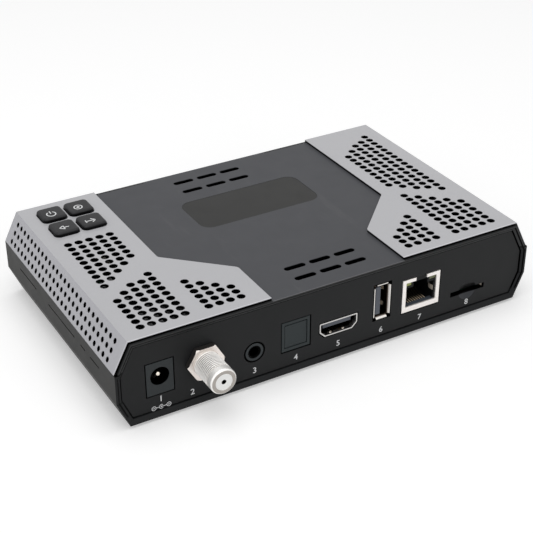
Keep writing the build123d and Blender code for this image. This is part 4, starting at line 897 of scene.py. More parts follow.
@dataclass(frozen=True)
class CanFinish(Finish):
    """Capacitor sleeves with bare scored tops and a pale stripe down the negative side."""

    bare: Colour = (0.20, 0.20, 0.21)
    stripe: Colour = (0.38, 0.40, 0.42)
    top: float = 20.3
    middle: Point2 = (54.75, 0.75)  # of the four cans together
    pitch: float = 10.5
    radius: float = 4.0
    stripe_half: Point2 = (1.2, 1.1)  # half its depth round the sleeve's edge and half its width
    score_half: float = 0.08
    score_depth: float = 0.12
    score_fade: Point2 = (9.0, 8.0)  # the scores end there, as squares of the distance from the can's middle

    def offsets(self, graph: Graph) -> list[tuple[Wire, Wire]]:
        """How far a point lies from the middle of each can.

        Args:
            graph: The material's graph.

        Returns:
            The distances across and along, for each can.
        """
        across, along, _ = graph.place.split()
        (x, y), half = self.middle, self.pitch / 2
        sides = ((1, 1), (1, -1), (-1, -1), (-1, 1))
        return [(across - (x + side * half), along - (y + end * half)) for side, end in sides]

    def tint(self, graph: Graph) -> Wire:
        """See Finish.tint."""
        base, (depth, width) = super().tint(graph), self.stripe_half
        for side, end in self.offsets(graph):
            lane = end.within(0.0, width, 0.1) * side.within(self.radius, depth, 0.1)
            base = graph.mix(lane, base, self.stripe)
        return graph.mix(graph.place.split()[2].rise(self.top - 0.25, self.top - 0.1), base, self.bare)

    def relief(self, graph: Graph) -> Wire:
        """See Finish.relief."""
        scores: Wire | None = None
        half = self.score_half
        for side, end in self.offsets(graph):
            near = (side * side + end * end).rise(*self.score_fade)
            cross = side.within(0.0, half, half).most(end.within(0.0, half, half)) * near
            scores = cross if scores is None else scores.most(cross)
        top = graph.place.split()[2].rise(self.top - 0.3, self.top - 0.1)
        return super().relief(graph) - self.score_depth * scores * top


@dataclass(frozen=True)
class RubberFinish(Finish):
    """Foot rubber with moulded rings underneath."""

    spread: Point2 = (62.0, 38.0)  # the feet's middles, from the case's middle
    ring_pitch: float = 1.5
    ring_half: float = 0.3
    ring_height: float = 0.15

    def relief(self, graph: Graph) -> Wire:
        """See Finish.relief."""
        across, along, up = graph.place.split()
        off_x, off_y = abs(across) - self.spread[0], abs(along) - self.spread[1]
        radius = (off_x * off_x + off_y * off_y) ** 0.5
        rings = radius.wrap(self.ring_pitch).within(self.ring_pitch / 2, self.ring_half, 0.15)
        return super().relief(graph) + self.ring_height * (rings * up.rise(-0.7, -1.0))


@dataclass(frozen=True)
class DigitFinish(Finish):
    """The display module: dark filter glass over unlit digit bars."""

    bar: Colour = (0.06, 0.055, 0.05)
    start: float = -17.0  # where the first digit's field starts
    pitch: float = 8.0  # from digit to digit
    upright_bars: Point2 = (2.0, 6.0)  # their places in a digit's field
    upright_reach: float = 3.6  # half a digit's height
    level_bars: Point3 = (12.2, 16.0, 19.8)
    level_reach: float = 1.8
    bar_half: float = 0.35
    soft: float = 0.05

    def tint(self, graph: Graph) -> Wire:
        """See Finish.tint."""
        across, _, up = graph.place.split()
        field = (across - self.start).wrap(self.pitch)
        left, right = (field.within(place, self.bar_half, self.soft) for place in self.upright_bars)
        low, middle, high = (up.within(level, self.bar_half, self.soft) for level in self.level_bars)
        uprights = left.most(right) * up.within(self.level_bars[1], self.upright_reach, self.soft)
        levels = low.most(middle).most(high) * field.within(self.pitch / 2, self.level_reach, self.soft)
        return graph.mix(uprights.most(levels), super().tint(graph), self.bar)


class Look(Enum):
    """Every finish on the receiver. A member's name, in small letters, is its material's name."""

    LID_PLASTIC = ShellFinish(
        shade(60, 61, 65), 0.55, specular=0.35, grain=0.012, inset=0.9, rim=shade(31, 32, 33), tone_depth=0.05
    )
    BASE_PLASTIC = ShellFinish(
        shade(42, 42, 41), 0.5, specular=0.12, grain=0.010, rim=shade(32, 33, 34), tone_depth=0.08
    )
    SILVER_PAINT = WingFinish(
        shade(180, 180, 183), 0.42, specular=0.45, coat=0.15,
        tone_depth=0.03, grain=0.004, grain_size=0.25, edge=0.2,
    )
    WINDOW_FILM = Finish(shade(42, 42, 41), 0.4, specular=0.15, grain=0.002, tone_depth=0.03)
    PANEL_PLASTIC = PanelFinish(shade(23, 24, 25), 0.5, specular=0.2, grain=0.006, tone_depth=0.06)
    SMOKED_LENS = Finish(
        shade(14, 14, 16), 0.08, specular=0.6, coat=0.6, grain=0.0004, grain_size=3.0, tone_depth=0.1
    )
    KEY_PLASTIC = KeyFinish(shade(33, 33, 35), 0.42, specular=0.22, grain=0.004, tone_depth=0.05)
    WHITE_PRINT = Finish(shade(228, 229, 230), 0.6, specular=0.2, tone_depth=0.06, tone_size=1.2, edge=0.01)
    JACK_PLASTIC = HollowFinish(shade(34, 39, 41), 0.45, specular=0.3, fade=0.5)
    OPTICAL_PLASTIC = HollowFinish(shade(32, 40, 42), 0.42, specular=0.3, fade=1.4)
    RING_PLASTIC = RoundFinish(shade(40, 45, 48), 0.42, specular=0.3, face=48.85, fade=1.6)
    FLAP_PLASTIC = FlapFinish(shade(32, 40, 42), 0.42, specular=0.3)
    BLACK_PLASTIC = Finish(shade(14, 14, 15), 0.5, specular=0.2, tone_depth=0.1)
    TONGUE_PLASTIC = Finish(shade(90, 94, 102), 0.5, specular=0.3, tone_depth=0.08)
    INSERT_PLASTIC = InsertFinish(shade(12, 13, 14), 0.5, specular=0.2, tone_depth=0.1)
    INSULATOR_PLASTIC = RoundFinish(
        shade(255, 255, 253), 0.4, specular=0.6, tone_depth=0.02, tone_size=4.0,
        node="antenna_insulator", mouth=0.82, border=9.0, face=62.7, fade=3.0,
    )
    TURNED_NICKEL = ThreadFinish(
        shade(255, 253, 250), 0.42, 0.5, lay=Lay.TURNED, grain=0.004, edge=0.06, stains=0.03
    )
    NUT_NICKEL = NutFinish(
        shade(240, 232, 226), 0.36, 0.75, lay=Lay.CAST, grain=0.008, edge=0.1, stains=0.05
    )
    VIDEO_SHELL_PLATE = MetalFinish(
        shade(206, 204, 202), 0.3, grain=0.004, edge=0.08, mouth="video_port_shell"
    )
    DATA_SHELL_PLATE = MetalFinish(
        shade(226, 222, 218), 0.3, grain=0.004, edge=0.08,
        mouth="data_port_shell", fade=(0.3, 0.75), shaded=(0.05, 0.038, 0.03),
    )
    SPRING_TAB_PLATE = MetalFinish(shade(206, 196, 182), 0.4, 0.4, grain=0.004, edge=0.04)
    SHIELD_PLATE = ShieldFinish(shade(252, 247, 243), 0.44, 0.6, grain=0.006, edge=0.1, fade=(0.4, 1.2))
    TINNED_SHEET = MetalFinish(shade(112, 112, 114), 0.5, lay=Lay.ROLLED, grain=0.006)
    ZINC_SCREW = MetalFinish(shade(168, 170, 174), 0.34, lay=Lay.CAST, grain=0.006)
    FIN_ALUMINIUM = MetalFinish(shade(46, 46, 48), 0.42, lay=Lay.ROLLED, grain=0.012)
    GOLD_CONTACT = MetalFinish(shade(226, 184, 96), 0.25, stain=(0.35, 0.2, 0.06), grain=0.002)
    CONTACT_WIRE = MetalFinish(
        shade(252, 232, 200), 0.35, 0.1, stain=(0.35, 0.2, 0.06), grain=0.002, edge=0.03,
        mouth="network_jack_insert", fade=(2.1, 4.6), shaded=(0.022, 0.016, 0.009),
    )
    BRIGHT_PIN = MetalFinish(shade(230, 222, 210), 0.16, lay=Lay.TURNED, grain=0.002)
    MAIN_RESIST = BoardFinish(shade(16, 50, 33), 0.45, coat=0.1, tone_depth=0.08)
    FRONT_RESIST = BoardFinish(shade(16, 50, 33), 0.45, coat=0.1, tone_depth=0.08, upright=True)
    CHIP_MOULD = Finish(
        shade(30, 30, 32), 0.55, specular=0.3, grain=0.012, grain_size=0.15, tone_depth=0.1, tone_size=5.0
    )
    CAN_SLEEVE = CanFinish(shade(30, 34, 44), 0.3, tone_depth=0.08)
    FERRITE = Finish(shade(52, 52, 54), 0.62, grain=0.02, grain_size=0.2, tone_depth=0.2, tone_size=3.0)
    SOCKET_PLASTIC = Finish(shade(222, 219, 206), 0.5, tone_depth=0.05, tone_size=4.0)
    EMITTER_RESIN = Finish(shade(150, 22, 24), 0.15, coat=0.4, tone_depth=0.15, tone_size=2.0)
    RECEIVER_RESIN = Finish(shade(30, 16, 18), 0.12, coat=0.5, tone_depth=0.15, tone_size=2.0)
    DISPLAY_FILTER = DigitFinish(shade(16, 15, 17), 0.2, coat=0.3, tone_depth=0.1)
    LIGHT_PIPE = LightPipeFinish(shade(150, 158, 88), 0.3, coat=0.2, tone_depth=0.12, tone_size=1.5)
    FOOT_RUBBER = RubberFinish(
        shade(44, 44, 44), 0.8, specular=0.2, grain=0.02, tone_depth=0.15, tone_size=4.0
    )


# --- Meshes ---


def rounded_outline(width: float, length: float, rounding: float, steps: int) -> list[Point2]:
    """Corner points of a rounded rectangle, counter-clockwise from its right side.

    Args:
        width: Size across.
        length: Size along.
        rounding: Corner radius.
        steps: Points in each corner arc.

    Returns:
        The points, as many for each corner.
    """
    points = []
    for index, (side_x, side_y) in enumerate(((1, 1), (-1, 1), (-1, -1), (1, -1))):
        middle = (side_x * (width / 2 - rounding), side_y * (length / 2 - rounding))
        for step in range(steps + 1):
            angle = math.pi / 2 * (index + step / steps)
            points.append((middle[0] + rounding * math.cos(angle), middle[1] + rounding * math.sin(angle)))
    return points


def shares(count: int) -> list[float]:
    """Evenly spaced values from 0 to 1, for that many steps."""
    return [index / count for index in range(count + 1)]


def row(middle: float, count: int, pitch: float) -> list[float]:
    """Evenly spaced places round a middle."""
    return [middle + (index - (count - 1) / 2) * pitch for index in range(count)]


def placed(name: str, data: bpy.types.ID) -> bpy.types.Object:
    """Makes an object and links it to the scene.

    Args:
        name: The object's name.
        data: Its mesh, curve, light or camera.

    Returns:
        The object.
    """
    thing = bpy.data.objects.new(name, data)
    bpy.context.scene.collection.objects.link(thing)
    return thing


def mesh_piece(
    name: str, points: Sequence[Point3], faces: Sequence[Sequence[int]], crease: float = 35.0
) -> bpy.types.Object:
    """Makes a mesh object from points in millimetres.

    Args:
        name: The piece's name.
        points: Its corner points.
        faces: Its faces as point numbers.
        crease: The angle in degrees above which an edge stays sharp.

    Returns:
        The object, linked to the scene.
    """
    mesh = bpy.data.meshes.new(name)
    mesh.from_pydata([Vector(point) * MM for point in points], [], [list(face) for face in faces])
    work = bmesh.new()
    work.from_mesh(mesh)
    bmesh.ops.recalc_face_normals(work, faces=work.faces)
    work.to_mesh(mesh)
    work.free()
    mesh.shade_smooth()
    mesh.set_sharp_from_angle(angle=math.radians(crease))
    return placed(name, mesh)


def stacked_rings(name: str, rings: Sequence[Sequence[Point3]], crease: float = 35.0) -> bpy.types.Object:
    """Joins rings of equally many points into a closed body.

    Args:
        name: The piece's name.
        rings: The rings, one after the other.
        crease: The angle in degrees above which an edge stays sharp.

    Returns:
        The object.
    """
    count = len(rings[0])
    last = (len(rings) - 1) * count
    faces = [list(range(count))[::-1], [last + index for index in range(count)]]
    for here in range(0, last, count):
        above = here + count
        for index in range(count):
            after = (index + 1) % count
            faces.append([here + index, here + after, above + after, above + index])
    return mesh_piece(name, [point for ring in rings for point in ring], faces, crease)


def joined(name: str, parts: Sequence[bpy.types.Object]) -> bpy.types.Object:
    """Joins several mesh objects into one piece.

    Args:
        name: The piece's name.
        parts: The objects, which are used up.

    Returns:
        The joined object.
    """
    work = bmesh.new()
    for part in parts:
        work.from_mesh(part.data)
    mesh = bpy.data.meshes.new(name)
    work.to_mesh(mesh)
    work.free()
    for part in parts:
        bpy.data.objects.remove(part)
    return placed(name, mesh)


def arched_path(across: float, run: Point2, level: float, rise: float, steps: int) -> list[Point3]:
    """A path that runs to the rear and bows up between its ends.

    Args:
        across: Its place across.
        run: Where it starts, and its length.
        level: The height of its ends.
        rise: How far it bows up.
        steps: How many straight stretches it has.

    Returns:
        The path's points.
    """
    start, length = run
    return [(across, start + length * s, level + rise * math.sin(math.pi * s)) for s in shares(steps)]


def bent_strip(
    name: str, path: Sequence[Point3], side: Point3, width: float, thickness: float
) -> bpy.types.Object:
    """Makes a strip of sheet metal that follows a path.

    Args:
        name: The piece's name.
        path: The points of its middle line.
        side: The direction of its width.
        width: Its width.
        thickness: Its thickness.

    Returns:
        The object.
    """
    across = Vector(side).normalized() * width / 2
    rings = []
    for index, point in enumerate(path):
        before, after = path[max(index - 1, 0)], path[min(index + 1, len(path) - 1)]
        along = (Vector(after) - Vector(before)).normalized()
        out = along.cross(across).normalized() * thickness / 2
        corners = (across + out, out - across, -across - out, across - out)
        rings.append([tuple(Vector(point) + corner) for corner in corners])
    return stacked_rings(name, rings, 50.0)


# --- Print ---


@dataclass(frozen=True)
class Sheet:
    """A flat place to print on: its middle, its right and up directions, in millimetres."""

    middle: Point3
    right: Point3
    up: Point3

    def at(self, across: float, along: float, out: float) -> Point3:
        """The point that far right, up and out of the sheet."""
        right, up = Vector(self.right), Vector(self.up)
        return tuple(Vector(self.middle) + right * across + up * along + right.cross(up) * out)


@dataclass(frozen=True)
class Bar:
    """A straight printed stroke with square ends."""

    start: Point2
    end: Point2

    def outlines(self, width: float) -> list[list[Point2]]:
        """The stroke's outline.

        Args:
            width: The stroke's width.

        Returns:
            A list of one outline, as its corners.
        """
        start, end = Vector(self.start), Vector(self.end)
        along = (end - start).normalized()
        side = Vector((-along.y, along.x)) * width / 2
        return [[tuple(corner) for corner in (start - side, end - side, end + side, start + side)]]


@dataclass(frozen=True)
class Arc:
    """Part of a printed ring, with its angles in degrees, counter-clockwise from the right."""

    middle: Point2
    radius: float  # of the stroke's middle line
    start: float = 0.0
    end: float = 360.0
    turn: ClassVar[float] = 7.5  # degrees in each piece
    least_pieces: ClassVar[int] = 8

    def point(self, angle: float, reach: float) -> Point2:
        """The point at that angle, in radians, and that distance from the middle."""
        return (self.middle[0] + reach * math.cos(angle), self.middle[1] + reach * math.sin(angle))

    def outlines(self, width: float) -> list[list[Point2]]:
        """The outlines of the short pieces that make up the stroke.

        Args:
            width: The stroke's width.

        Returns:
            The corners of each piece.
        """
        inner, outer = self.radius - width / 2, self.radius + width / 2
        span = self.end - self.start
        count = max(self.least_pieces, int(abs(span) / self.turn))
        angles = [math.radians(self.start + span * share) for share in shares(count)]
        return [
            [self.point(one, inner), self.point(one, outer), self.point(two, outer), self.point(two, inner)]
            for one, two in zip(angles, angles[1:])
        ]


@dataclass(frozen=True)
class Dot:
    """A filled printed disc."""

    middle: Point2
    radius: float

    def outlines(self, width: float) -> list[list[Point2]]:
        """The disc's wedges, whatever the width of the mark's strokes."""
        return Arc(self.middle, self.radius / 2).outlines(self.radius)


Stroke = Bar | Arc | Dot


@dataclass
class Printer:
    """Draws flat marks of printed paint as thin closed bodies."""

    thickness: float = 0.02
    digit_share: float = 0.69  # a digit's height, as a share of the type's size
    digit_swell: float = 0.012  # how far a digit's outline is moved out, as a share of its height

    def mark(self, name: str, sheet: Sheet, strokes: Sequence[Stroke], width: float) -> bpy.types.Object:
        """Prints a mark that is made of strokes.

        Args:
            name: The piece's name.
            sheet: Where it is printed.
            strokes: Its strokes.
            width: Their width.

        Returns:
            The object.
        """
        parts = []
        for outline in (outline for stroke in strokes for outline in stroke.outlines(width)):
            rings = [[sheet.at(x, y, out) for x, y in outline] for out in (0.0, self.thickness)]
            parts.append(stacked_rings(f"{name}_{len(parts)}", rings))
        return joined(name, parts)

    def figure(self, name: str, sheet: Sheet, text: str, height: float) -> bpy.types.Object:
        """Prints a plain number, centred on the sheet.

        Args:
            name: The piece's name.
            sheet: Where it is printed.
            text: The digits.
            height: The digits' height.

        Returns:
            The object.
        """
        curve = bpy.data.curves.new(name, "FONT")
        curve.body = text
        curve.size = height * MM / self.digit_share
        curve.extrude = self.thickness * MM / 2
        curve.offset = self.digit_swell * height * MM
        curve.align_x = "CENTER"
        curve.align_y = "CENTER"
        lettering = placed(f"{name}_outline", curve)
        bpy.context.view_layer.update()
        flat = lettering.evaluated_get(bpy.context.evaluated_depsgraph_get())
        mesh = bpy.data.meshes.new_from_object(flat)
        bpy.data.objects.remove(lettering)
        right, up = Vector(sheet.right), Vector(sheet.up)
        turn = Matrix((right, up, right.cross(up))).transposed().to_4x4()
        mesh.transform(Matrix.Translation(Vector(sheet.at(0.0, 0.0, self.thickness / 2)) * MM) @ turn)
        mesh.name = name
        return placed(name, mesh)


# --- Assemblies ---


class Wardrobe:
    """Keeps one material for each look, and puts them on nodes and new pieces."""

    def __init__(self) -> None:
        """Starts with no materials."""
        self.made: dict[Look, bpy.types.Material] = {}

    def material(self, look: Look) -> bpy.types.Material:
        """Finds a look's material, and makes it at its first use.

        Args:
            look: The look.

        Returns:
            The material.
        """
        if look not in self.made:
            self.made[look] = look.value.make(look.name.lower())
        return self.made[look]

    def dress(self, node: str, look: Look) -> None:
        """Puts a look on a CAD node.

        Args:
            node: The node's name.
            look: Its look.
        """
        thing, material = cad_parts[node], self.material(look)
        if not thing.material_slots:
            thing.data.materials.append(material)
        for place in thing.material_slots:
            place.material = material
        log.info("%s: %s", node, material.name)

    def add(self, piece: bpy.types.Object, look: Look, body: str, slot: str) -> bpy.types.Object:
        """Finishes a new piece and makes it ride on a body.

        Args:
            piece: The piece.
            look: Its look.
            body: The body that it rides on.
            slot: The record's material slot, which is not used.

        Returns:
            The piece.
        """
        piece.data.materials.clear()
        piece.data.materials.append(self.material(look))
        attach(piece, body)
        log.info("%s: %s on %s", piece.name, look.name.lower(), body)
        return piece


@dataclass
class Assembly:
    """A group of pieces that are finished together."""

    wardrobe: Wardrobe
    root: str = "receiver_body"
    looks: ClassVar[dict[str, Look]] = {}  # the look of each of its CAD nodes

    def build(self) -> None:
        """Dresses the group's nodes; a group with pieces of its own then adds them."""
        for node, look in self.looks.items():
            self.wardrobe.dress(node, look)


@dataclass
class Housing(Assembly):
    """Shells, silver plates, label window, feet and screws."""

    looks: ClassVar[dict[str, Look]] = {
        "bottom_case": Look.BASE_PLASTIC,
        "top_case": Look.LID_PLASTIC,
        "left_side_plate": Look.SILVER_PAINT,
        "right_side_plate": Look.SILVER_PAINT,
        "label_window": Look.WINDOW_FILM,
        "case_screws": Look.ZINC_SCREW,
        "rubber_feet": Look.FOOT_RUBBER,
    }


@dataclass
class EndPanels(Assembly):
    """Rear and front panels, the lens, and the print under the connectors."""

    looks: ClassVar[dict[str, Look]] = {
        "rear_panel": Look.PANEL_PLASTIC,
        "front_panel": Look.PANEL_PLASTIC,
        "display_lens": Look.SMOKED_LENS,
    }
    face: float = 48.9
    figure_height: float = 2.2
    labels: tuple[tuple[str, float, float], ...] = (  # connector, shift from its middle, the number's level
        ("power_jack_housing", 0.0, 6.2),
        ("antenna_nut", 4.6, 4.7),
        ("av_jack_housing", 0.0, 5.0),
        ("optical_jack_housing", 0.0, 4.8),
        ("video_port_shell", 0.0, 4.8),
        ("data_port_shell", 0.0, 4.6),
        ("network_jack_shield", 0.0, 4.5),
        ("card_socket_base", 0.0, 4.3),
    )
    mark_level: float = 3.1
    mark_pitch: float = 2.7
    ring_radius: float = 0.75
    ring_gap: float = 40.0  # half the open ring's opening, in degrees
    dot_radius: float = 0.28
    link_start: float = 0.2
    sign_half: float = 0.35
    stroke: float = 0.22

    def sheet(self, across: float, level: float) -> Sheet:
        """A printing place on the rear panel."""
        return Sheet((across, self.face, level), (-1.0, 0.0, 0.0), (0.0, 0.0, 1.0))

    def polarity(self) -> list[Stroke]:
        """Draws the mark of a plug with a positive centre.

        Returns:
            The mark's strokes: minus ring, plug, plus ring.
        """
        pitch, ring, sign = self.mark_pitch, self.ring_radius, self.sign_half
        return [
            Arc((-pitch, 0.0), ring),
            Arc((pitch, 0.0), ring),
            Arc((0.0, 0.0), ring, self.ring_gap, 360.0 - self.ring_gap),
            Dot((0.0, 0.0), self.dot_radius),
            Bar((-pitch + ring, 0.0), (-ring, 0.0)),
            Bar((self.link_start, 0.0), (pitch - ring, 0.0)),
            Bar((-pitch - sign, 0.0), (-pitch + sign, 0.0)),
            Bar((pitch - sign, 0.0), (pitch + sign, 0.0)),
            Bar((pitch, -sign), (pitch, sign)),
        ]

    def build(self) -> None:
        """Dresses the panels and prints on the rear one."""
        super().build()
        printer = Printer()
        for number, (connector, shift, level) in enumerate(self.labels, start=1):
            sheet = self.sheet(middle_of(connector)[0] + shift, level)
            figure = printer.figure(f"port_number_{number}", sheet, str(number), self.figure_height)
            self.wardrobe.add(figure, Look.WHITE_PRINT, self.root, "white_plastic")
        sheet = self.sheet(middle_of("power_jack_housing")[0], self.mark_level)
        mark = printer.mark("polarity_mark", sheet, self.polarity(), self.stroke)
        self.wardrobe.add(mark, Look.WHITE_PRINT, self.root, "white_plastic")


class Mark(Enum):
    """The marks on the keys."""

    POWER = "power"
    SELECT = "select"
    LEFT = "left"
    RIGHT = "right"


@dataclass
class KeyPad(Assembly):
    """Four keys with soft edges and printed marks, their switches and their board."""

    looks: ClassVar[dict[str, Look]] = {
        **{f"{mark.value}_key": Look.KEY_PLASTIC for mark in Mark},
        **{f"{mark.value}_plunger": Look.EMITTER_RESIN for mark in Mark},
        "tact_switches": Look.BLACK_PLASTIC,
        "button_board": Look.MAIN_RESIST,
    }
    legends: ClassVar[dict[Mark, tuple[Stroke, ...]]] = {
        Mark.POWER: (Arc((0.0, -0.15), 1.65, 122.0, 418.0), Bar((0.0, 0.2), (0.0, 2.1))),
        Mark.SELECT: (Arc((0.0, 0.0), 1.5), Dot((0.0, 0.0), 0.6)),
        Mark.LEFT: (
            Bar((-1.45, 0.0), (0.3, -1.25)),
            Bar((-1.45, 0.0), (0.3, 1.25)),
            Bar((0.3, -1.25), (0.3, 1.25)),
            Bar((0.3, 0.0), (2.15, 0.0)),
        ),
        Mark.RIGHT: (
            Bar((-1.8, 0.0), (1.85, 0.0)),
            Bar((-1.8, -0.9), (-1.8, 0.9)),
            Bar((0.35, 1.35), (1.85, 0.0)),
            Bar((0.35, -1.35), (1.85, 0.0)),
        ),
    }
    width: float = 9.3
    length: float = 9.2
    rounding: float = 1.5
    least_rounding: float = 0.6
    rounding_loss: float = 0.55  # for each millimetre of the bevel's inset
    flange: Point2 = (9.9, 10.9)
    flange_rounding: float = 2.0
    stem: float = 4.0
    stem_rounding: float = 1.999  # a hair under half the stem, so that no two corner points meet
    corner_steps: int = 8
    levels: Point3 = (26.0, 28.1, 29.1)  # the stem's foot, the flange's underside and its top
    top: float = 33.55
    stroke: float = 0.42
    legend_shift: Point2 = (0.57, 1.0)
    bevel: tuple[Point2, ...] = (  # inset and drop
        (0.0, 0.95), (0.04, 0.7), (0.14, 0.46), (0.3, 0.25), (0.52, 0.1), (0.8, 0.02), (1.1, 0.0),
    )

    def cap(self, mark: Mark) -> bpy.types.Object:
        """Builds one key: stem, flange and a cap whose edge rolls over softly.

        Args:
            mark: Which key.

        Returns:
            The key.
        """
        foot, under, ledge = self.levels
        profile = [
            (self.stem, self.stem, self.stem_rounding, foot),
            (self.stem, self.stem, self.stem_rounding, under),
            (*self.flange, self.flange_rounding, under),
            (*self.flange, self.flange_rounding, ledge),
            (self.width, self.length, self.rounding, ledge),
        ]
        for inset, drop in self.bevel:
            rounding = max(self.rounding - inset * self.rounding_loss, self.least_rounding)
            profile.append((self.width - 2 * inset, self.length - 2 * inset, rounding, self.top - drop))
        middle, rings = middle_of(f"{mark.value}_key"), []
        for width, length, rounding, level in profile:
            outline = rounded_outline(width, length, rounding, self.corner_steps)
            rings.append([(middle[0] + x, middle[1] + y, level) for x, y in outline])
        return stacked_rings(f"{mark.value}_key_cap", rings, 40.0)

    def legend(self, mark: Mark, printer: Printer) -> bpy.types.Object:
        """Prints a key's mark, which reads upright from behind.

        Args:
            mark: Which key.
            printer: What draws it.

        Returns:
            The mark.
        """
        middle, (shift_x, shift_y) = middle_of(f"{mark.value}_key"), self.legend_shift
        place = (middle[0] + shift_x, middle[1] + shift_y, self.top)
        sheet = Sheet(place, (-1.0, 0.0, 0.0), (0.0, -1.0, 0.0))
        return printer.mark(f"{mark.value}_key_mark", sheet, self.legends[mark], self.stroke)

    def build(self) -> None:
        """Dresses the switches, and builds the keys and their marks."""
        super().build()
        printer = Printer()
        for mark in Mark:
            body = f"{mark.value}_button"
            cap = self.wardrobe.add(self.cap(mark), Look.KEY_PLASTIC, body, "key_plastic")
            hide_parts(f"{mark.value}_key")
            self.wardrobe.add(self.legend(mark, printer), Look.WHITE_PRINT, body, "white_plastic")


@dataclass
class PowerJack(Assembly):
    """Square power jack with its well, pin and spring."""

    looks: ClassVar[dict[str, Look]] = {
        "power_jack_housing": Look.JACK_PLASTIC,
        "power_jack_pin": Look.BRIGHT_PIN,
        "power_jack_spring": Look.TINNED_SHEET,
    }


@dataclass
class AntennaConnector(Assembly):
    """Threaded connector with its nut, and the tuner can that it stands on."""

    looks: ClassVar[dict[str, Look]] = {
        "antenna_barrel": Look.TURNED_NICKEL,
        "antenna_nut": Look.NUT_NICKEL,
        "antenna_insulator": Look.INSULATOR_PLASTIC,
        "antenna_contact": Look.GOLD_CONTACT,
        "tuner_can": Look.TINNED_SHEET,
        "tuner_cover": Look.TINNED_SHEET,
    }


@dataclass
class SignalJacks(Assembly):
    """Audio-video jack and optical jack."""

    looks: ClassVar[dict[str, Look]] = {
        "av_jack_housing": Look.BLACK_PLASTIC,
        "av_jack_sleeve": Look.RING_PLASTIC,
        "av_jack_contacts": Look.TINNED_SHEET,
        "optical_jack_housing": Look.OPTICAL_PLASTIC,
        "optical_shutter": Look.FLAP_PLASTIC,
        "optical_emitter": Look.EMITTER_RESIN,
    }


@dataclass
class DigitalPorts(Assembly):
    """Video port with two floor tabs, and upright data port with its grip springs."""

    looks: ClassVar[dict[str, Look]] = {
        "video_port_shell": Look.VIDEO_SHELL_PLATE,
        "video_port_tongue": Look.TONGUE_PLASTIC,
        "video_port_contacts": Look.GOLD_CONTACT,
        "data_port_shell": Look.DATA_SHELL_PLATE,
        "data_port_tongue": Look.TONGUE_PLASTIC,
        "data_port_contacts": Look.GOLD_CONTACT,
    }
    wall: float = -22.25
    spring_levels: Point2 = (12.95, 19.4)
    spring_run: Point2 = (42.0, 3.7)  # start and length
    spring_rise: Point2 = (0.2, 0.75)  # off the wall at its ends, and how much more at its bow
    spring_bow: Point2 = (0.9, 1.4)  # the share of its length that bows, and the bow's sharpness
    spring_steps: int = 10
    spring_width: float = 1.5
    sheet: float = 0.25
    tab_places: Point2 = (1.36, -3.8)
    tab_run: Point2 = (46.2, 1.9)
    tab_level: float = 9.74
    tab_bow: float = 0.4
    tab_steps: int = 6
    tab_width: float = 0.8

    def grip_spring(self, level: float, name: str) -> bpy.types.Object:
        """Builds one spring that bows into the port through its window.

        Args:
            level: Its height.
            name: The piece's name.

        Returns:
            The spring.
        """
        (start, length), (foot, rise), (knee, sharpness) = self.spring_run, self.spring_rise, self.spring_bow
        path = []
        for share in shares(self.spring_steps):
            bow = math.sin(math.pi * min(share / knee, 1.0)) ** sharpness
            path.append((self.wall + foot + rise * bow, start + length * share, level))
        return bent_strip(name, path, (0.0, 0.0, 1.0), self.spring_width, self.sheet)

    def floor_tab(self, across: float) -> bpy.types.Object:
        """Builds one gilt tab that bows off the video port's floor."""
        path = arched_path(across, self.tab_run, self.tab_level, self.tab_bow, self.tab_steps)
        return bent_strip(f"tab_{across}", path, (1.0, 0.0, 0.0), self.tab_width, self.sheet / 2)

    def build(self) -> None:
        """Dresses the ports and adds the springs and tabs."""
        super().build()
        for index, level in enumerate(self.spring_levels, start=1):
            spring = self.grip_spring(level, f"data_port_spring_{index}")
            self.wardrobe.add(spring, Look.SPRING_TAB_PLATE, self.root, "plated_metal")
        tabs = joined("video_port_tabs", [self.floor_tab(across) for across in self.tab_places])
        self.wardrobe.add(tabs, Look.BRIGHT_PIN, self.root, "gold_contact")


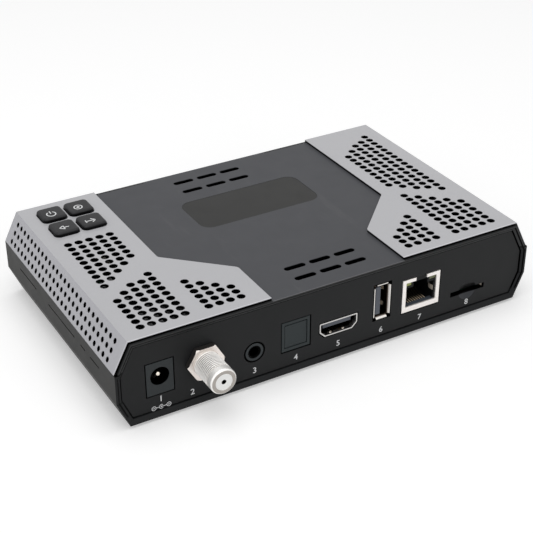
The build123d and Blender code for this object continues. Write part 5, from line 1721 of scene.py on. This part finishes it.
@dataclass
class NetworkJack(Assembly):
    """Shielded network jack with its insert, contact wires, side tabs and lights."""

    looks: ClassVar[dict[str, Look]] = {
        "network_jack_shield": Look.SHIELD_PLATE,
        "network_jack_insert": Look.INSERT_PLASTIC,
        "network_jack_lights": Look.LIGHT_PIPE,
        "network_jack_contacts": Look.GOLD_CONTACT,
    }
    count: int = 8
    pitch: float = 1.02
    wire_width: float = 0.26
    wire_thickness: float = 0.14
    wire_path: tuple[Point2, ...] = ((46.5, 10.5), (43.4, 10.5), (43.0, 10.62), (34.3, 13.9))  # place, level
    cavity_half: float = 5.9
    tab_path: tuple[Point2, ...] = (  # off the wall, place
        (0.05, 45.4), (0.3, 46.2), (0.3, 47.2), (0.05, 48.1),
    )
    tab_level: float = 14.8
    tab_width: float = 1.9
    tab_thickness: float = 0.1

    def wire(self, across: float) -> bpy.types.Object:
        """Builds one contact wire, which lies on the cavity floor and then slants up to the back."""
        path = [(across, along, level) for along, level in self.wire_path]
        return bent_strip(f"wire_{across}", path, (1.0, 0.0, 0.0), self.wire_width, self.wire_thickness)

    def side_tab(self, middle: float, side: int) -> bpy.types.Object:
        """Builds one shield spring that bows off a side wall of the cavity.

        Args:
            middle: The cavity's middle.
            side: 1 for the wall on the side of growing x, -1 for the other.

        Returns:
            The spring.
        """
        wall = middle + side * (self.cavity_half - self.tab_thickness)
        path = [(wall - side * rise, along, self.tab_level) for rise, along in self.tab_path]
        return bent_strip(f"tab_{side}", path, (0.0, 0.0, 1.0), self.tab_width, self.tab_thickness)

    def build(self) -> None:
        """Dresses the jack, and adds its wires and tabs."""
        super().build()
        middle = middle_of("network_jack_insert")[0]
        wires = [self.wire(across) for across in row(middle, self.count, self.pitch)]
        contacts = self.wardrobe.add(
            joined("network_jack_wires", wires), Look.CONTACT_WIRE, self.root, "gold_contact"
        )
        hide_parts("network_jack_contacts")
        tabs = joined("network_jack_side_tabs", [self.side_tab(middle, side) for side in (-1, 1)])
        self.wardrobe.add(tabs, Look.SPRING_TAB_PLATE, self.root, "plated_metal")


@dataclass
class CardSocket(Assembly):
    """Memory card socket with a row of contact springs and two end tabs."""

    looks: ClassVar[dict[str, Look]] = {
        "card_socket_base": Look.BLACK_PLASTIC,
        "card_socket_cover": Look.TINNED_SHEET,
        "card_slider": Look.SOCKET_PLASTIC,
    }
    count: int = 8
    pitch: float = 1.1
    level: float = 8.85
    contact_run: Point2 = (36.5, 5.0)  # start and length
    contact_rise: float = 0.5
    contact_steps: int = 8
    contact_sheet: Point2 = (0.6, 0.12)  # width and thickness
    tab_spread: float = 7.1  # from the socket's middle
    tab_run: Point2 = (45.0, 48.0)  # start and end
    tab_level: float = 9.3
    tab_height: float = 1.1
    tab_thickness: float = 0.3

    def contact(self, across: float) -> bpy.types.Object:
        """Builds one contact spring that arches off the socket's floor."""
        path = arched_path(across, self.contact_run, self.level, self.contact_rise, self.contact_steps)
        return bent_strip(f"contact_{across}", path, (1.0, 0.0, 0.0), *self.contact_sheet)

    def end_tab(self, across: float) -> bpy.types.Object:
        """Builds one guide tab of the socket's cover, which shows at an end of the slot."""
        path = [(across, along, self.tab_level) for along in self.tab_run]
        return bent_strip(f"guide_{across}", path, (0.0, 0.0, 1.0), self.tab_height, self.tab_thickness)

    def build(self) -> None:
        """Dresses the socket and adds its springs and tabs."""
        super().build()
        middle = middle_of("card_socket_base")[0]
        springs = [self.contact(across) for across in row(middle, self.count, self.pitch)]
        self.wardrobe.add(
            joined("card_socket_springs", springs), Look.GOLD_CONTACT, self.root, "gold_contact"
        )
        tabs = [self.end_tab(middle + side * self.tab_spread) for side in (1, -1)]
        self.wardrobe.add(
            joined("card_socket_end_tabs", tabs), Look.SPRING_TAB_PLATE, self.root, "plated_metal"
        )


@dataclass
class Electronics(Assembly):
    """Main board, front board and what they carry."""

    looks: ClassVar[dict[str, Look]] = {
        "main_board": Look.MAIN_RESIST,
        "board_screws": Look.ZINC_SCREW,
        "main_processor": Look.CHIP_MOULD,
        "heatsink": Look.FIN_ALUMINIUM,
        "memory_chips": Look.CHIP_MOULD,
        "capacitors": Look.CAN_SLEEVE,
        "inductors": Look.FERRITE,
        "cable_sockets": Look.SOCKET_PLASTIC,
        "front_board": Look.FRONT_RESIST,
        "display_module": Look.DISPLAY_FILTER,
        "remote_receiver": Look.RECEIVER_RESIN,
    }


# --- Studio ---


@dataclass(frozen=True)
class Lamp:
    """A soft square lamp that faces the receiver."""

    name: str
    place: Point3  # metres
    side: float  # metres
    power: float  # watts

    def hang(self) -> None:
        """Puts the lamp into the scene."""
        light = bpy.data.lights.new(self.name, "AREA")
        light.shape = "SQUARE"
        light.size = self.side
        light.energy = self.power
        lamp = placed(self.name, light)
        lamp.location = self.place
        lamp.rotation_euler = (-Vector(self.place)).to_track_quat("-Z", "Y").to_euler()


@dataclass
class Studio:
    """Floor, lamps, surroundings and camera, in metres and degrees where nothing else is said."""

    floor_level: float = -1.2 * MM
    floor_size: float = 6.0
    floor_tones: tuple[Colour, Colour] = ((0.80, 0.80, 0.80), (0.78, 0.78, 0.78))
    floor_patch: float = 900.0  # millimetres
    floor_lift: float = 0.33  # how much the floor glows where it is looked at
    world_level: float = 0.42  # how strongly the surroundings light the receiver
    lens: float = 85.5397  # millimetres
    sensor_width: float = 36.0  # millimetres
    camera_place: Point3 = (0.20194, 0.354832, 0.254536)
    camera_turn: Point3 = (59.199, 0.1082, 150.2188)
    clip_start: float = 0.01
    lamps: tuple[Lamp, ...] = (
        Lamp("overhead_lamp", (0.10, 0.05, 1.0), 0.9, 5.0),
        Lamp("side_lamp", (0.95, 0.30, 0.45), 0.6, 0.9),
        Lamp("rear_lamp", (-0.1, 1.0, 0.5), 0.7, 1.5),
    )

    def floor(self) -> None:
        """Lays a plain pale floor that keeps the receiver's shadow."""
        half = self.floor_size / 2
        corners = ((-half, -half), (half, -half), (half, half), (-half, half))
        points = [(x / MM, y / MM, self.floor_level / MM) for x, y in corners]
        sheet = mesh_piece("floor", points, [(0, 1, 2, 3)])
        material = bpy.data.materials.new("pale_floor")
        graph = Graph(material)
        tone = graph.mix(graph.noise(self.floor_patch, 1.0) * 0.01, *self.floor_tones)
        diffuse = graph.node("ShaderNodeBsdfDiffuse", {}, {"Color": tone})
        glow = graph.node("ShaderNodeEmission", {}, {"Strength": graph.seen() * self.floor_lift})
        both = graph.node("ShaderNodeAddShader")
        for number, shader in enumerate((diffuse, glow)):
            graph.tree.links.new(shader.outputs[0], both.inputs[number])
        graph.show(both)
        sheet.data.materials.append(material)

    def surroundings(self) -> None:
        """Sets a pale world that is white where the camera or a reflection sees it."""
        world = bpy.data.worlds.new("pale_room")
        bpy.context.scene.world = world
        graph = Graph(world)
        level = self.world_level + (1.0 - self.world_level) * graph.seen()
        room = graph.node("ShaderNodeBackground", {}, {"Color": (1.0, 1.0, 1.0), "Strength": level})
        graph.show(room, "ShaderNodeOutputWorld")

    def camera(self) -> None:
        """Sets the camera."""
        data = bpy.data.cameras.new("camera")
        data.lens = self.lens
        data.sensor_width = self.sensor_width
        data.clip_start = self.clip_start
        camera = placed("camera", data)
        camera.location = self.camera_place
        camera.rotation_euler = tuple(math.radians(angle) for angle in self.camera_turn)
        bpy.context.scene.camera = camera

    def build(self) -> None:
        """Sets up the whole studio."""
        self.camera()
        self.floor()
        self.surroundings()
        for lamp in self.lamps:
            lamp.hang()
        bpy.context.scene.view_settings.view_transform = "Standard"


def main() -> None:
    """Builds the studio and every assembly, and reports each piece."""
    logging.basicConfig(level=logging.INFO, format="%(message)s")
    Studio().build()
    wardrobe = Wardrobe()
    kinds: tuple[type[Assembly], ...] = (
        Housing, EndPanels, KeyPad, PowerJack, AntennaConnector,
        SignalJacks, DigitalPorts, NetworkJack, CardSocket, Electronics,
    )
    for kind in kinds:
        kind(wardrobe).build()


if __name__ == "__main__":
    main()
